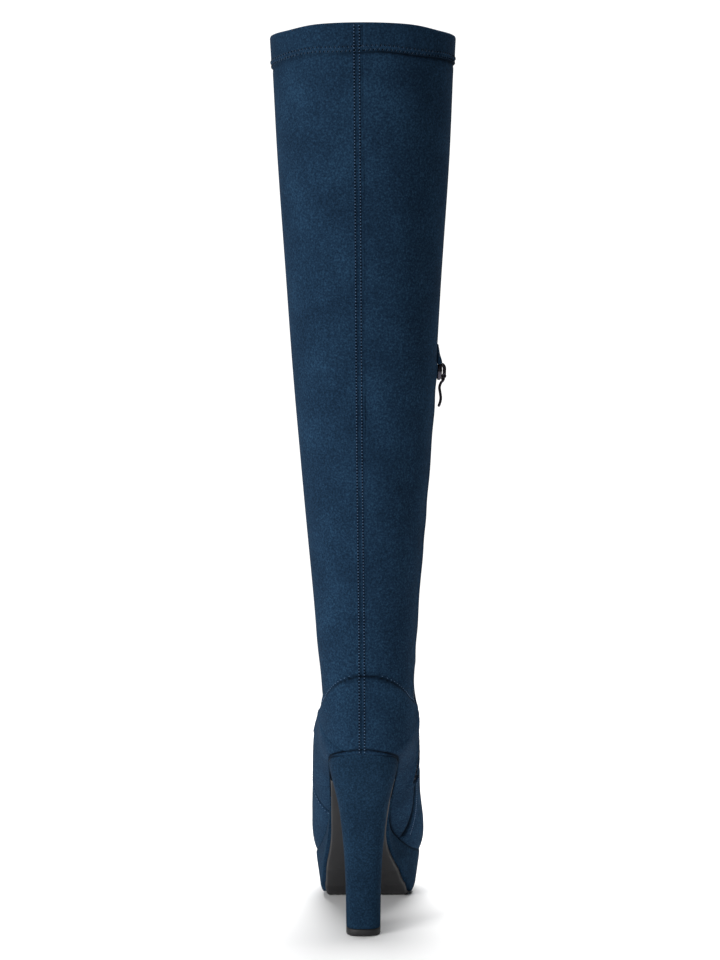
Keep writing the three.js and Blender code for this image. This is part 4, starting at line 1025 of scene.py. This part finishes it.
def grainy(name, code, rough, scale, depth, metal=0.0, ior=1.5):
    """A plain colour with a fine even grain."""
    made, tree, shader = material(name, rough, metal, ior)
    shader.inputs["Base Color"].default_value = linear(code)
    where = node(tree, "ShaderNodeTexCoord").outputs["Object"]
    grain = node(tree, "ShaderNodeTexNoise", {"Vector": where}, Scale=scale, Detail=3.0, Roughness=0.6)
    bump = node(tree, "ShaderNodeBump", {"Height": grain.outputs["Fac"]}, Strength=0.5, Distance=depth)
    tree.links.new(bump.outputs["Normal"], shader.inputs["Normal"])
    return made


shaft_suede = suede("navy_stretch_microsuede", "132436", "1c3248", "28455f")
cover_suede = suede("navy_microsuede_cover", "112233", "1a2f43", "233e56")
# thread catches a little more light than the nap; the hem's is darker; holes hold only shade
thread = grainy("navy_polyester_thread", "48678a", 0.6, 3000.0, 0.00008)
dark_thread = grainy("dark_navy_polyester_thread", "2b435c", 0.6, 3000.0, 0.00005)
needle_shadow = grainy("shadowed_needle_hole", "04080e", 0.95, 3000.0, 0.00004)
needle_shadow.node_tree.nodes["Principled BSDF"].inputs["Specular IOR Level"].default_value = 0.02
# dull knit inside, matt moulded rubber below, a woven tape and a nylon coil with a faint gloss
lining_cloth = grainy("charcoal_knit_lining", "23262c", 0.9, 1600.0, 0.0002)
rubber = grainy("black_rubber_sole", "17171a", 0.62, 900.0, 0.00015, ior=1.52)
tape_cloth = grainy("woven_zip_tape", "0d1f33", 0.85, 1400.0, 0.00015)
coil = grainy("nylon_coil", "122a42", 0.45, 1200.0, 0.00003, ior=1.53)
# plated and tumbled metal: dark, with soft highlights
gunmetal = grainy("gunmetal_plated_zinc", "4a4750", 0.27, 400.0, 0.00001, metal=1.0)


def dress(obj, mat):
    """Gives a piece its one material."""
    obj.data.materials.clear()
    obj.data.materials.append(mat)


dress(upper, shaft_suede)
dress(zip_garage, shaft_suede)
dress(platform, cover_suede)
dress(heel, cover_suede)
dress(lining, lining_cloth)
dress(outsole, rubber)
dress(heel_tip, rubber)
dress(zip_tape, tape_cloth)
dress(zip_teeth, coil)
for piece in (slider_body, crown, tab_eye, tab_blade):
    dress(piece, gunmetal)
for piece in thread_pieces:
    dress(piece, thread)
dress(bpy.data.objects["hem_zigzag_stitches"], dark_thread)
for piece in needle_hole_shade_pieces:
    dress(piece, needle_shadow)
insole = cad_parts["insole"]
insole.material_slots[0].material = lining_cloth

# Floor, light and camera
floor_mesh = bpy.data.meshes.new("floor")
FLOOR_RADIUS = 1.3
turns = np.linspace(0, 2 * np.pi, 96, endpoint=False)
floor_points = FLOOR_RADIUS * np.stack([np.cos(turns), np.sin(turns), 0 * turns], 1)
floor_mesh.from_pydata(floor_points.tolist(), [], [tuple(range(96))])
floor = bpy.data.objects.new("floor", floor_mesh)
bpy.context.scene.collection.objects.link(floor)
floor_paint, _, floor_shader = material("pale_floor", 0.9)
floor_shader.inputs["Base Color"].default_value = (0.9, 0.9, 0.9, 1)
floor_mesh.materials.append(floor_paint)

# Studio: a bright sweep behind the boot and a soft wall of light on its left, dim on its right
world = bpy.data.worlds.new("studio")
world.use_nodes = True
air = world.node_tree
towards = node(air, "ShaderNodeSeparateXYZ", {"Vector": node(air, "ShaderNodeTexCoord").outputs["Generated"]})


def glow(axis, start, end, dim, bright):
    """Light of the surroundings that grows along one axis of its direction, from dim to bright."""
    made = node(air, "ShaderNodeMapRange", {"Value": towards.outputs[axis]}, interpolation_type="SMOOTHSTEP")
    for key, value in (("From Min", start), ("From Max", end), ("To Min", dim), ("To Max", bright)):
        made.inputs[key].default_value = value
    return made.outputs["Result"]


behind_light = glow("Y", 0.84, 0.95, 0.0, 1.0)
left_light = glow("X", 0.6, -0.8, 0.02, 0.32)
total_light = node(air, "ShaderNodeMath", {0: behind_light, 1: left_light}, operation="ADD")
air.links.new(total_light.outputs[0], air.nodes["Background"].inputs["Strength"])
air.nodes["Background"].inputs["Color"].default_value = (1, 1, 1, 1)
bpy.context.scene.world = world
bpy.context.scene.view_settings.view_transform = "Standard"


def area_light(name, place, target, size, power):
    """A square soft light that looks at its target."""
    data = bpy.data.lights.new(name, "AREA")
    data.shape = "SQUARE"
    data.size = size
    data.energy = power
    obj = bpy.data.objects.new(name, data)
    obj.location = place
    obj.rotation_euler = (Vector(target) - Vector(place)).to_track_quat("-Z", "Y").to_euler()
    bpy.context.scene.collection.objects.link(obj)


area_light("key_left", (-1.78, -1.7, 1.0), (0, 0, 0.35), 1.0, 42)
area_light("floor_wash", (0.1, 0.9, 2.5), (0.1, 0.25, 0.0), 2.0, 115)

camera_data = bpy.data.cameras.new("camera")
camera_data.sensor_fit = "VERTICAL"
camera_data.sensor_height = 36.0
camera_data.lens = 36.0 * 2130 / 960
camera = bpy.data.objects.new("camera", camera_data)
camera.location = (-0.0026, -1.661, 0.420)
camera.rotation_euler = (math.radians(87.8), 0, 0)
bpy.context.scene.collection.objects.link(camera)
bpy.context.scene.camera = camera

bpy.context.view_layer.update()
